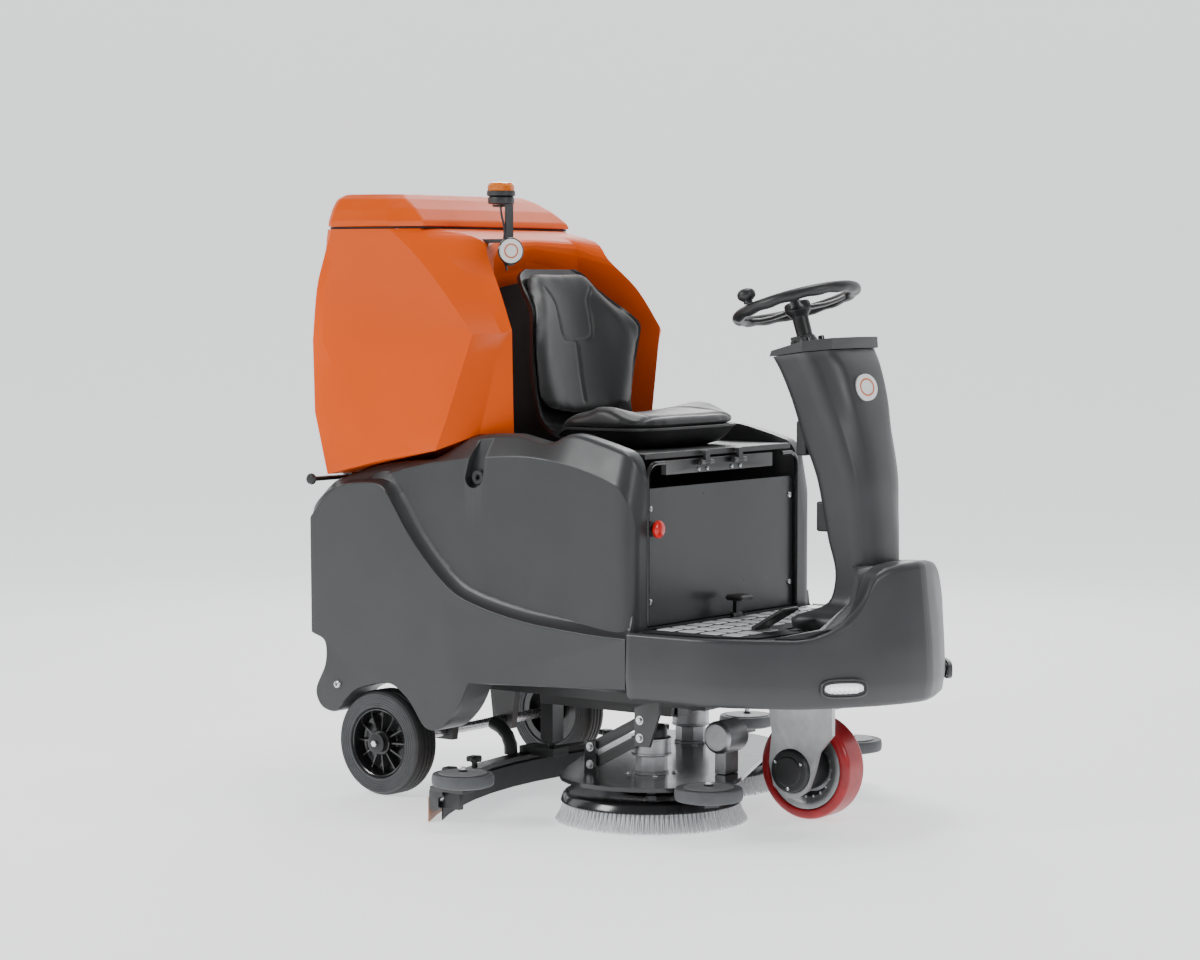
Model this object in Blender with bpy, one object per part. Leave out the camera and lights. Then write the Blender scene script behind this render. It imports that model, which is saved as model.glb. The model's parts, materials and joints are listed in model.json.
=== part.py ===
"""Ride-on floor scrubber: an assembly of separate pieces.

Metres, +Z up, +X towards the machine's front, the driver's right side is -Y.
Every shape is written from the rear axle line (x = 0) and shifted by REAR_AXLE_X,
so that the finished machine is centred on the world origin with its base on the floor.
"""
import math

import bmesh
import bpy
from mathutils import Matrix, Vector

for item in list(bpy.data.objects):
    bpy.data.objects.remove(item, do_unlink=True)

# ---- driving dimensions -------------------------------------------------------------------
REAR_AXLE_X = -0.509
GAP = 0.0003                      # clearance between neighbouring pieces
REAR_WHEEL_R = 0.125
REAR_WHEEL_W = 0.075
REAR_WHEEL_Y = 0.3305             # wheel centre from the middle of the machine
REAR_AXLE_R = 0.0125
RIM_RIBS = 6
WHEEL_STEPS = 28
DRIVE_X = 0.977                   # steering axis and drive wheel centre
DRIVE_R = 0.117
DRIVE_W = 0.077
HUB_TEETH = 10
BODY_HALF_W = 0.385
PANEL_HALF_W = 0.360              # flank above the fender
BAY_HALF_W = 0.306                # battery bay between the tank walls
BODY_FLOOR_Z = 0.300
DECK_TOP_Z = 0.437
DECK_BASE_Z = 0.288
BRUSH_R = 0.218
BRUSH_PLATE_R = 0.205
BRUSH_CENTRES = {"right": (0.701, -0.240), "left": (0.509, 0.190)}
DECK_ROLLERS = {"right": (0.951, -0.376), "left": (0.8265, 0.405)}
ROLLER_R = 0.075
DECK_DISC_R = 0.207
DECK_Z = (0.0955, 0.105)
LINK_FRONT_X = 0.721              # fixed pivots of the deck's parallel arms
LINK_REAR_X = 0.583               # moving pivots
LINK_Z = {"upper": (0.235, 0.163), "lower": (0.195, 0.123)}
LINK_Y = -0.3005
SQUEEGEE_X = 0.168                # middle of the bowed bar
SQUEEGEE_BOW = 0.53
SQUEEGEE_HALF_W = 0.572
SQUEEGEE_ROLLER = (0.420, 0.566)
SQUEEGEE_ROLLER_R = 0.070
SQUEEGEE_PIVOT = (0.600, 0.214)
SQUEEGEE_SWING_X = 0.235
WHEEL_CENTRE = Vector((0.929, 0.0, 1.159))
WHEEL_TILT = math.radians(17.3)
WHEEL_RING_R = 0.135
WHEEL_TUBE_R = 0.014
SHAFT_R = 0.010
SEAT_HINGE = (0.735, 0.800)
TANK_HINGE = (-0.185, 0.742)
LID_HINGE = (-0.205, 1.338)
STEER_AXIS = Vector((-math.sin(WHEEL_TILT), 0.0, math.cos(WHEEL_TILT)))

X_AXIS = Vector((1.0, 0.0, 0.0))
Y_AXIS = Vector((0.0, 1.0, 0.0))
Z_AXIS = Vector((0.0, 0.0, 1.0))


# ---- materials ----------------------------------------------------------------------------
def material(name, colour, roughness=0.5, metallic=0.0, alpha=1.0):
    mat = bpy.data.materials.new(name)
    mat.use_nodes = True
    shader = mat.node_tree.nodes["Principled BSDF"]
    shader.inputs["Base Color"].default_value = (*colour, 1.0)
    shader.inputs["Roughness"].default_value = roughness
    shader.inputs["Metallic"].default_value = metallic
    shader.inputs["Alpha"].default_value = alpha
    return mat


GREY = material("charcoal_plastic", (0.065, 0.068, 0.070), 0.50)
ORANGE = material("orange_plastic", (0.85, 0.17, 0.012), 0.38)
BLACK = material("black_plastic", (0.012, 0.012, 0.013), 0.42)
FRAME = material("black_steel", (0.014, 0.014, 0.015), 0.45)
PANEL = material("panel_steel", (0.050, 0.052, 0.054), 0.42)
RUBBER = material("grey_rubber", (0.13, 0.135, 0.14), 0.62)
TYRE = material("tyre_rubber", (0.10, 0.105, 0.11), 0.65)
RED = material("red_polyurethane", (0.42, 0.012, 0.018), 0.35)
BUTTON_RED = material("red_plastic", (0.75, 0.02, 0.015), 0.30)
STEEL = material("bare_steel", (0.55, 0.56, 0.57), 0.35, 1.0)
CAST = material("cast_alloy", (0.42, 0.43, 0.44), 0.45, 1.0)
CHEQUER = material("chequer_aluminium", (0.62, 0.63, 0.64), 0.35, 1.0)
VINYL = material("black_vinyl", (0.014, 0.014, 0.015), 0.36)
BRISTLE = material("bristle_white", (0.72, 0.73, 0.74), 0.60)
AMBER = material("amber_rubber", (0.55, 0.25, 0.10), 0.50)
LENS = material("orange_lens", (0.90, 0.22, 0.02), 0.15)
LAMP = material("lamp_clear", (0.80, 0.82, 0.84), 0.12)
GASKET = material("seal_rubber", (0.010, 0.010, 0.011), 0.70)
BATTERY = material("battery_case", (0.018, 0.022, 0.035), 0.45)


# ---- solids -------------------------------------------------------------------------------
def solid(vertices, faces):
    """One closed mesh object with its normals facing out."""
    mesh = bpy.data.meshes.new("solid")
    mesh.from_pydata([tuple(v) for v in vertices], [], faces)
    work = bmesh.new()
    work.from_mesh(mesh)
    bmesh.ops.recalc_face_normals(work, faces=work.faces)
    work.to_mesh(mesh)
    work.free()
    obj = bpy.data.objects.new("solid", mesh)
    bpy.context.scene.collection.objects.link(obj)
    return obj


def loft(loops, ring=False):
    """Skin equal-length loops; ring joins the last loop to the first instead of capping."""
    count = len(loops[0])
    vertices = [point for loop in loops for point in loop]
    faces = []
    spans = len(loops) if ring else len(loops) - 1
    for i in range(spans):
        a = i * count
        b = ((i + 1) % len(loops)) * count
        for j in range(count):
            k = (j + 1) % count
            faces.append((a + j, a + k, b + k, b + j))
    if not ring:
        faces.append(tuple(reversed(range(count))))
        faces.append(tuple(range((len(loops) - 1) * count, len(loops) * count)))
    return solid(vertices, faces)


def prism(outline, axis, low, high):
    """Extrude a 2-D outline: axis y takes (x, z) points, axis z (x, y), axis x (y, z)."""
    place = {"y": lambda p, h: (p[0], h, p[1]),
             "z": lambda p, h: (p[0], p[1], h),
             "x": lambda p, h: (h, p[0], p[1])}[axis]
    return loft([[place(p, low) for p in outline], [place(p, high) for p in outline]])


def box(x0, x1, y0, y1, z0, z1, bevel=0.0, steps=1):
    obj = prism([(x0, y0), (x1, y0), (x1, y1), (x0, y1)], "z", z0, z1)
    return soften(obj, bevel, 60.0, steps) if bevel else obj


def soften(obj, width, angle=35.0, steps=1):
    """Bevel every edge sharper than the angle."""
    work = bmesh.new()
    work.from_mesh(obj.data)
    limit = math.radians(angle)
    edges = [e for e in work.edges if len(e.link_faces) == 2 and e.calc_face_angle() > limit]
    bmesh.ops.bevel(work, geom=edges, offset=width, segments=steps, profile=0.5, affect="EDGES",
                    clamp_overlap=True)
    work.to_mesh(obj.data)
    work.free()
    return obj


def lathe(profile, centre, axis=Z_AXIS, segments=32):
    """Revolve (radius, height) points; a profile off the axis at both ends closes on itself."""
    turn = Z_AXIS.rotation_difference(axis).to_matrix()
    centre = Vector(centre)
    vertices = []
    rows = []
    for radius, height in profile:
        steps = 1 if radius == 0 else segments
        rows.append([len(vertices) + i for i in range(steps)])
        for i in range(steps):
            a = 2 * math.pi * i / segments
            vertices.append(centre + turn @ Vector((radius * math.cos(a), radius * math.sin(a), height)))
    closed = profile[0][0] > 0
    faces = []
    for i in range(len(rows) if closed else len(rows) - 1):
        a, b = rows[i], rows[(i + 1) % len(rows)]
        for j in range(segments):
            k = (j + 1) % segments
            quad = [a[j % len(a)], a[k % len(a)], b[k % len(b)], b[j % len(b)]]
            faces.append(tuple(dict.fromkeys(quad)))
    return solid(vertices, faces)


def rod(radius, start, end, segments=16):
    start, end = Vector(start), Vector(end)
    length = (end - start).length
    return lathe([(0, 0), (radius, 0), (radius, length), (0, length)], start, (end - start).normalized(),
                 segments)


def tube(path, radius, segments=10, closed=False):
    """Sweep a round section along a path."""
    path = [Vector(p) for p in path]
    count = len(path)
    loops = []
    normal = None
    for i, point in enumerate(path):
        before = path[(i - 1) % count] if closed or i else path[0]
        after = path[(i + 1) % count] if closed or i < count - 1 else path[-1]
        tangent = (after - before).normalized()
        if normal is None:
            normal = tangent.orthogonal().normalized()
        normal = (normal - tangent * normal.dot(tangent)).normalized()
        side = tangent.cross(normal)
        loops.append([point + radius * (math.cos(a) * normal + math.sin(a) * side)
                      for a in [2 * math.pi * j / segments for j in range(segments)]])
    return loft(loops, ring=closed)


def combine(target, tool, operation):
    tool.hide_render = True
    tool.display_type = "WIRE"
    modifier = target.modifiers.new("combine", "BOOLEAN")
    modifier.operation = operation
    modifier.solver = "EXACT"
    modifier.object = tool
    bpy.context.view_layer.update()
    graph = bpy.context.evaluated_depsgraph_get()
    result = bpy.data.meshes.new_from_object(target.evaluated_get(graph))
    target.modifiers.clear()
    target.data = result
    bpy.data.objects.remove(tool, do_unlink=True)
    work = bmesh.new()
    work.from_mesh(result)
    bmesh.ops.remove_doubles(work, verts=work.verts, dist=0.00001)
    rims = [edge for edge in work.edges if edge.is_boundary]
    if rims:
        bmesh.ops.holes_fill(work, edges=rims, sides=8)
    work.to_mesh(result)
    work.free()
    return target


def fuse(target, *tools):
    for tool in tools:
        combine(target, tool, "UNION")
    return target


def cut(target, *tools):
    for tool in tools:
        combine(target, tool, "DIFFERENCE")
    return target


def node(name, obj, mat, pivot=(0.0, 0.0, 0.0), angle=32.0):
    """Name the piece, put its origin on its pivot and move it into the machine's frame."""
    pivot = Vector(pivot)
    obj.data.transform(Matrix.Translation(-pivot))
    obj.location = pivot + Vector((REAR_AXLE_X, 0.0, 0.0))
    obj.name = name
    obj.data.name = name
    obj.data.materials.clear()
    obj.data.materials.append(mat)
    obj.data.shade_smooth()
    obj.data.set_sharp_from_angle(angle=math.radians(angle))
    return obj


def mirrored(half, first_on_middle=False):
    """Close a half loop given on the -Y side into a loop symmetric about y = 0."""
    other = [(x, -y, z) for x, y, z in reversed(half) if abs(y) > 1e-6]
    return list(half) + other


SIDES = {"right": -1.0, "left": 1.0}


# ---- chassis ------------------------------------------------------------------------------
def build_chassis():
    frame = box(-0.140, 0.7742, 0.095, 0.135, 0.240, 0.284)
    rail = box(-0.140, 0.7742, -0.135, -0.095, 0.240, 0.284)
    cross = [box(-0.135, -0.095, -0.1345, 0.1345, 0.2405, 0.2992),
             box(0.575, 0.625, -0.1345, 0.1345, 0.2405, 0.2992),
             box(0.7552, 0.7745, -0.1345, 0.1345, 0.2405, 0.3295)]
    head = prism([(0.7556, -0.134), (0.900, -0.134), (1.060, -0.070), (1.085, -0.030), (1.085, 0.030),
                  (1.060, 0.070), (0.900, 0.134), (0.7556, 0.134)], "z", 0.318, 0.330)
    outrigger = box(0.7554, 0.7740, -0.3120, 0.3120, 0.2985, 0.3180)
    frame = fuse(frame, *cross)
    frame = fuse(frame, rail, head, outrigger)
    for y in (-0.125, 0.105):
        plate = prism([(-0.045, 0.245), (-0.028, 0.105), (0.028, 0.105), (0.045, 0.245)], "y", y, y + 0.020)
        frame = fuse(frame, plate)
    for y in (-0.042, 0.030):
        ear = prism([(0.580, 0.245), (0.586, 0.202), (0.614, 0.202), (0.620, 0.245)], "y", y, y + 0.012)
        frame = fuse(frame, ear)
    pivot = (SQUEEGEE_PIVOT[0], -0.0410, SQUEEGEE_PIVOT[1])
    frame = fuse(frame, rod(0.008, pivot, (pivot[0], 0.0410, pivot[2]), 16))
    bracket = prism([(0.7560, 0.316), (0.773, 0.316), (0.773, 0.250), (0.746, 0.176), (0.706, 0.176),
                     (0.706, 0.262), (0.7560, 0.280)], "y", -0.3125, -0.3045)
    frame = fuse(frame, bracket)
    for fixed_z, _ in LINK_Z.values():
        frame = fuse(frame, rod(0.0050, (LINK_FRONT_X, -0.3120, fixed_z),
             (LINK_FRONT_X, -0.2952, fixed_z), 16))
    frame = cut(frame, rod(REAR_AXLE_R + 0.0004, (0, -0.2, REAR_WHEEL_R), (0, 0.2, REAR_WHEEL_R), 24),
                rod(0.0206, (DRIVE_X, 0, 0.30), (DRIVE_X, 0, 0.35), 24))
    node("chassis_frame", frame, FRAME)

    end = 0.3720
    axle = lathe([(0, -end), (0.017, -end), (0.018, -0.3700), (0.018, -0.3660), (REAR_AXLE_R, -0.3660),
                  (REAR_AXLE_R, -0.2915), (0.020, -0.2915), (0.020, -0.2820), (REAR_AXLE_R, -0.2820),
                  (REAR_AXLE_R, 0.2820), (0.020, 0.2820), (0.020, 0.2915), (REAR_AXLE_R, 0.2915),
                  (REAR_AXLE_R, 0.3660), (0.018, 0.3660), (0.018, 0.3700), (0.017, end), (0, end)],
                 (0, 0, REAR_WHEEL_R), Y_AXIS, 16)
    node("rear_axle", axle, STEEL)


# ---- rear wheels --------------------------------------------------------------------------
def build_rear_wheels():
    for side, sign in SIDES.items():
        centre = (0.0, sign * REAR_WHEEL_Y, REAR_WHEEL_R)
        outward = Y_AXIS * sign
        rim = lathe([(0.0130, -0.036), (0.030, -0.036), (0.034, -0.010), (0.062, -0.008), (0.066, -0.034),
                     (0.0822, -0.034), (0.0822, 0.034), (0.076, 0.034), (0.072, 0.022), (0.068, 0.004),
                     (0.034, 0.002), (0.030, 0.0330), (0.0130, 0.0345)], centre, outward, WHEEL_STEPS)
        for i in range(RIM_RIBS):
            a = 2 * math.pi * (i + 0.5) / RIM_RIBS
            rib = box(0.029, 0.073, -0.0022, 0.0022, -0.003, 0.024)
            rib.data.transform(Matrix.Rotation(a, 4, "Z"))
            rib.data.transform(Z_AXIS.rotation_difference(outward).to_matrix().to_4x4())
            rib.data.transform(Matrix.Translation(centre))
            rim = fuse(rim, rib)
        node("rear_rim_" + side, rim, BLACK, centre)
        half = REAR_WHEEL_W / 2
        tyre = lathe([(0.0826, -0.0335), (0.086, -half), (0.112, -half), (0.120, -half + 0.005),
                      (REAR_WHEEL_R, -half + 0.014), (REAR_WHEEL_R, half - 0.014), (0.120, half - 0.005),
                      (0.112, half), (0.086, half), (0.0826, 0.0335)], centre, outward, WHEEL_STEPS)
        node("rear_tyre_" + side, tyre, TYRE, centre)


# ---- drive and steering -------------------------------------------------------------------
def build_drive_unit():
    centre = (DRIVE_X, 0.0, DRIVE_R)
    half = DRIVE_W / 2
    tyre = lathe([(0.0945, -half + 0.002), (0.100, -half), (0.110, -half + 0.002), (DRIVE_R, -half + 0.012),
                  (DRIVE_R, half - 0.012), (0.110, half - 0.002), (0.100, half), (0.0945, half - 0.002)],
                 centre, Y_AXIS, WHEEL_STEPS)
    node("drive_tyre", tyre, RED, centre)
    hub = lathe([(0.0156, -0.008), (0.062, -0.006), (0.066, -0.028), (0.078, -0.034), (0.0941, -0.034),
                 (0.0941, 0.034), (0.080, 0.034), (0.070, 0.020), (0.030, 0.014), (0.026, 0.030),
                 (0.0156, 0.030)], centre, Y_AXIS, WHEEL_STEPS)
    for i in range(HUB_TEETH):
        a = 2 * math.pi * i / HUB_TEETH
        tooth = box(0.0635, 0.080, -0.0035, 0.0035, 0.0, 0.026)
        tooth.data.transform(Matrix.Rotation(a, 4, "Z"))
        tooth.data.transform(Z_AXIS.rotation_difference(-Y_AXIS).to_matrix().to_4x4())
        tooth.data.transform(Matrix.Translation(centre))
        hub = fuse(hub, tooth)
    node("drive_hub", hub, CAST, centre)
    motor = lathe([(0, -0.106), (0.040, -0.106), (0.048, -0.100), (0.0500, -0.094), (0.0500, -0.013),
                   (0.0150, -0.013), (0.0150, 0.040), (0, 0.040)], centre, Y_AXIS, 24)
    node("drive_motor", motor, BLACK, (DRIVE_X, 0.0, DRIVE_R))

    crown = prism([(0.900, -0.090), (1.080, -0.090), (1.085, -0.040), (1.075, 0.045), (1.030, 0.070),
                   (0.925, 0.070), (0.880, 0.045), (0.876, -0.040)], "z", 0.262, 0.276)
    leg = prism([(0.915, 0.270), (1.085, 0.270), (1.085, 0.205), (1.050, 0.165), (1.036, 0.115),
                 (1.020, 0.075), (0.990, 0.055), (0.960, 0.055), (0.930, 0.080), (0.918, 0.130),
                 (0.925, 0.200)], "y", -0.0900, -0.0780)
    sector = prism([(DRIVE_X + 0.088 * math.cos(a), 0.088 * math.sin(a))
                    for a in [math.radians(-100 + 14.3 * i) for i in range(15)]], "z", 0.2755, 0.288)
    stem = rod(0.0200, (DRIVE_X, 0, 0.270), (DRIVE_X, 0, 0.392), 24)
    fork = fuse(crown, leg, sector, stem)
    fork = cut(fork, rod(0.0506, (DRIVE_X, -0.12, DRIVE_R), (DRIVE_X, -0.05, DRIVE_R), 32))
    node("steering_fork", fork, CAST, (DRIVE_X, 0.0, 0.27))

    case = prism([(0.940, -0.048), (1.180, -0.040), (1.196, -0.020), (1.196, 0.020), (1.180, 0.040),
                  (0.940, 0.048), (0.928, 0.030), (0.928, -0.030)], "z", 0.3305, 0.4200)
    case = cut(case, rod(0.0206, (DRIVE_X, 0, 0.32), (DRIVE_X, 0, 0.3965), 24),
               rod(SHAFT_R + 0.0006, WHEEL_CENTRE - STEER_AXIS * 0.70, WHEEL_CENTRE - STEER_AXIS * 0.806, 16))
    node("steering_gearcase", case, CAST)

    shaft = rod(SHAFT_R, WHEEL_CENTRE - STEER_AXIS * 0.0755, WHEEL_CENTRE - STEER_AXIS * 0.802, 16)
    node("steering_shaft", shaft, STEEL, WHEEL_CENTRE)

    forward = STEER_AXIS.cross(Y_AXIS) * -1.0
    ring = [WHEEL_CENTRE + WHEEL_RING_R * (math.cos(a) * forward + math.sin(a) * Y_AXIS)
            for a in [2 * math.pi * i / 36 for i in range(36)]]
    wheel = tube(ring, WHEEL_TUBE_R, 8, closed=True)
    hub = lathe([(0, 0.008), (0.024, 0.006), (0.030, -0.004), (0.030, -0.018), (0.020, -0.030),
         (0.018, -0.075),
                 (0, -0.075)], WHEEL_CENTRE, STEER_AXIS, 16)
    wheel = fuse(wheel, hub)
    for degrees in (180, 60, -60):
        a = math.radians(degrees)
        out = math.cos(a) * forward + math.sin(a) * Y_AXIS
        side = STEER_AXIS.cross(out)
        loops = []
        for reach, width, drop in ((0.020, 0.016, 0.010), (0.070, 0.012, 0.012), (0.115, 0.011, 0.006),
                                   (WHEEL_RING_R, 0.011, 0.0)):
            base = WHEEL_CENTRE + out * reach - STEER_AXIS * drop
            loops.append([base + side * width * u + STEER_AXIS * 0.005 * v
                          for u, v in ((-1, -1), (1, -1), (1, 1), (-1, 1))])
        wheel = fuse(wheel, loft(loops))
    node("steering_wheel", wheel, BLACK, WHEEL_CENTRE)

    a = math.radians(-108)
    base = WHEEL_CENTRE + WHEEL_RING_R * (math.cos(a) * forward + math.sin(a) * Y_AXIS)
    knob = lathe([(0, 0.0146), (0.010, 0.0146), (0.012, 0.020), (0.020, 0.026), (0.021, 0.038),
         (0.016, 0.046),
                  (0, 0.049)], base, STEER_AXIS, 16)
    node("spinner_knob", knob, BLACK, base)


# ---- body ---------------------------------------------------------------------------------
BODY_TOP = [(-0.262, 0.655), (-0.205, 0.690), (-0.155, 0.735), (-0.120, 0.748), (-0.020, 0.779),
            (0.087, 0.794), (0.165, 0.802), (0.262, 0.853), (0.388, 0.864), (0.440, 0.855),
            (0.490, 0.847), (0.525, 0.862), (0.560, 0.869), (0.690, 0.838), (0.736, 0.828), (0.757, 0.820)]


def at(profile, x):
    """Linear value of a profile at x."""
    for (x0, z0), (x1, z1) in zip(profile, profile[1:]):
        if x0 <= x <= x1:
            return z0 + (z1 - z0) * (x - x0) / (x1 - x0)
    return profile[0][1] if x < profile[0][0] else profile[-1][1]


def build_solution_tank():
    half_width = [(-0.262, 0.300), (-0.225, 0.338), (-0.190, 0.356), (-0.150, PANEL_HALF_W), (0.56, 0.364),
                  (0.690, 0.371), (0.736, 0.362), (0.750, 0.340), (0.757, 0.318)]
    shoulder = [(-0.262, 0.640), (-0.155, 0.715), (0.165, 0.792), (0.262, 0.806), (0.388, 0.816),
                (0.460, 0.818), (0.560, 0.803), (0.690, 0.766), (0.757, 0.752)]
    stations = sorted({x for x, _ in BODY_TOP} | {-0.225, -0.156, -0.149, 0.750})
    loops = []
    for x in stations:
        w = at(half_width, x)
        top = at(BODY_TOP, x)
        lean = min(0.020, 0.55 * (top - at(shoulder, x)))
        base = 0.368 if x < -0.15 else BODY_FLOOR_Z
        half = [(x, 0.0, base), (x, -w + 0.010, base), (x, -w, base + 0.012), (x, -w, at(shoulder, x)),
                (x, -w + lean, top - 0.006), (x, -w + lean + 0.008, top), (x, 0.0, top)]
        loops.append(mirrored(half))
    tank = loft(loops)
    fender_top = [(-0.193, 0.655), (-0.150, 0.700), (-0.100, 0.732), (-0.020, 0.742), (0.030, 0.735),
         (0.055, 0.705),
                  (0.124, 0.610), (0.215, 0.520), (0.291, 0.480), (0.439, 0.447), (0.619, 0.430),
                       (0.733, 0.426)]
    fender_base = [(0.733, 0.310), (0.290, 0.290), (0.255, 0.225), (0.203, 0.178), (0.157, 0.177),
                   (0.110, 0.235), (0.060, 0.268), (0.014, 0.268), (-0.050, 0.250), (-0.086, 0.222),
                   (-0.115, 0.193), (-0.150, 0.194), (-0.172, 0.213), (-0.175, 0.243), (-0.147, 0.300),
                   (-0.150, 0.355), (-0.191, 0.374)]
    raised = [(x + dx, z + dz) for (x, z), (dx, dz) in
              zip(fender_top, [(0.0, 0.004), (0.0, 0.008), (-0.003, 0.010), (0.004, 0.012), (0.022, 0.014)]
                  + [(0.022, 0.024)] * 5 + [(0.0, 0.022), (0.0, 0.016)])]
    for sign in SIDES.values():
        fender = loft([[(x, sign * 0.292, z) for x, z in raised + fender_base],
                       [(x, sign * (PANEL_HALF_W - 0.002), z) for x, z in raised + fender_base],
                       [(x, sign * (BODY_HALF_W - 0.006), z) for x, z in fender_top + fender_base],
                       [(x, sign * BODY_HALF_W, z) for x, z in
                        [(x, z - 0.006) for x, z in fender_top] + [(x, z + 0.005) for x, z in fender_base]]])
        tank = fuse(tank, fender)
        ear = box(-0.199, -0.171, sign * 0.2350, sign * 0.2600, 0.660, 0.756)
        tank = fuse(tank, ear)
    bay = box(-0.100, 0.700, -BAY_HALF_W, BAY_HALF_W, 0.330, 0.95)
    front = box(0.690, 0.800, -BAY_HALF_W, BAY_HALF_W, 0.4395, 0.95)
    lower_front = box(0.7370, 0.800, -0.5, 0.5, 0.20, 0.4440)
    tank = cut(tank, bay, front, lower_front)
    rod_y = 0.4
    tank = cut(tank, rod(0.0066, (TANK_HINGE[0], -rod_y, TANK_HINGE[1]),
         (TANK_HINGE[0], rod_y, TANK_HINGE[1]), 16))
    node("solution_tank", tank, GREY, angle=38)

    for name, x0, x1 in (("battery_pack_rear", 0.060, 0.352), ("battery_pack_front", 0.364, 0.656)):
        pack = box(x0, x1, -0.275, 0.275, 0.3304, 0.640, 0.006)
        for y in (-0.20, -0.07, 0.07, 0.20):
            pack = fuse(pack, rod(0.012, ((x0 + x1) / 2, y, 0.635), ((x0 + x1) / 2, y, 0.662), 12))
        node(name, pack, BATTERY)

    motor = lathe([(0, 0.62), (0.068, 0.62), (0.070, 0.63), (0.070, 0.70), (0.050, 0.705), (0.050, 0.745),
                   (0, 0.750)], (-0.022, 0.0, 0.0), Z_AXIS, 28)
    motor = fuse(motor, box(-0.0997, 0.052, -0.10, 0.10, 0.6005, 0.622))
    node("suction_motor", motor, BLACK)


def offset_loop(points, distance):
    """Move a plan loop towards its middle line by a distance."""
    count = len(points)
    area = sum(points[i][0] * points[(i + 1) % count][1] - points[(i + 1) % count][0] * points[i][1]
               for i in range(count))
    sign = 1.0 if area > 0 else -1.0
    moved = []
    for i in range(count):
        a, b, c = (Vector(points[(i + k) % count]) for k in (-1, 0, 1))
        n0 = Vector((-(b - a).y, (b - a).x)).normalized() * sign
        n1 = Vector((-(c - b).y, (c - b).x)).normalized() * sign
        n = (n0 + n1).normalized()
        moved.append(tuple(b + n * distance / max(0.5, n.dot(n0))))
    return moved


DECK_HALF = [(0.7375, 0.385), (0.830, 0.383), (0.930, 0.377), (1.000, 0.355), (1.060, 0.326), (1.126, 0.286),
             (1.168, 0.240), (1.198, 0.198), (1.236, 0.134), (1.262, 0.072), (1.275, 0.021)]
DECK_PLAN = [(x, -y) for x, y in DECK_HALF] + [(x, y) for x, y in reversed(DECK_HALF)]


def at_height(plan, z):
    return [(x, y, z) for x, y in plan]


def lamp_frame(sign):
    """Centre, outward, along and up directions of a head lamp."""
    centre = Vector((1.1955, sign * 0.2185, 0.334))
    out = Vector((0.762, sign * 0.647, 0.0)).normalized()
    along = Z_AXIS.cross(out)
    return centre, out, along


def lamp_solid(sign, grow, depth_in, depth_out):
    centre, out, along = lamp_frame(sign)
    half, radius = 0.032 + grow * 0, 0.015 + grow
    outline = []
    for end in (1, -1):
        for i in range(7):
            a = math.pi * (i / 6 - 0.5) + (0 if end > 0 else math.pi)
            outline.append((end * half + radius * math.cos(a), radius * math.sin(a)))
    return loft([[centre + along * u + Z_AXIS * v + out * d for u, v in outline] for d in (depth_in,
         depth_out)])


def build_front_deck():
    deck = loft([at_height(offset_loop(DECK_PLAN, 0.014), DECK_BASE_Z),
                 at_height(offset_loop(DECK_PLAN, 0.002), 0.300),
                 at_height(offset_loop(DECK_PLAN, -0.004), 0.340),
                 at_height(offset_loop(DECK_PLAN, 0.000), 0.418),
                 at_height(offset_loop(DECK_PLAN, 0.004), 0.430),
                 at_height(offset_loop(DECK_PLAN, 0.011), DECK_TOP_Z)])
    deck = cut(deck, box(0.6, 0.7375, -0.5, 0.5, 0.2, 0.6))
    levels = [(0.424, [(1.060, 0.305), (1.120, 0.268), (1.182, 0.190), (1.230, 0.118), (1.258, 0.044)]),
              (0.443, [(1.075, 0.302), (1.124, 0.268), (1.186, 0.186), (1.233, 0.112), (1.258, 0.042)]),
              (0.460, [(1.140, 0.230), (1.158, 0.228), (1.196, 0.168), (1.233, 0.104), (1.252, 0.040)]),
              (0.513, [(1.163, 0.146), (1.176, 0.148), (1.204, 0.126), (1.230, 0.082), (1.242, 0.032)]),
              (0.556, [(1.160, 0.122), (1.172, 0.124), (1.198, 0.108), (1.221, 0.069), (1.231, 0.027)]),
              (0.576, [(1.148, 0.110), (1.162, 0.112), (1.190, 0.098), (1.211, 0.062), (1.219, 0.025)]),
              (0.587, [(1.138, 0.096), (1.156, 0.098), (1.184, 0.084), (1.201, 0.052), (1.208, 0.020)])]
    cowl = loft([[(x, -y, z) for x, y in half] + [(x, y, z) for x, y in reversed(half)] for z,
         half in levels])
    deck = fuse(deck, cowl)
    inner = offset_loop(DECK_PLAN, 0.016)
    deck = cut(deck, loft([at_height(inner, 0.20), at_height(inner, 0.425)]))
    deck = cut(deck, loft(column_loops(0.0035, 0.4405)),
               rod(0.034, (1.156, 0, 0.40), (1.156, 0, 0.46), 24))
    for sign in SIDES.values():
        deck = cut(deck, lamp_solid(sign, 0.0006, -0.0104, 0.03))
    node("front_deck", deck, GREY, angle=40)
    for side, sign in SIDES.items():
        node("headlight_" + side, lamp_solid(sign, 0.0, -0.0098, 0.0045), LAMP)

    tread = prism([(0.742, -0.292), (0.762, -0.292), (0.762, -0.362), (0.930, -0.352), (1.030, -0.305),
                   (1.046, -0.200), (1.046, -0.140), (0.980, -0.128), (0.980, 0.128), (1.046, 0.140),
                   (1.046, 0.200), (1.030, 0.305), (0.930, 0.352), (0.762, 0.362), (0.762, 0.292),
                   (0.742, 0.292)], "z", DECK_TOP_Z + 0.0006, DECK_TOP_Z + 0.0036)
    node("tread_plate", tread, CHEQUER)


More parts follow.
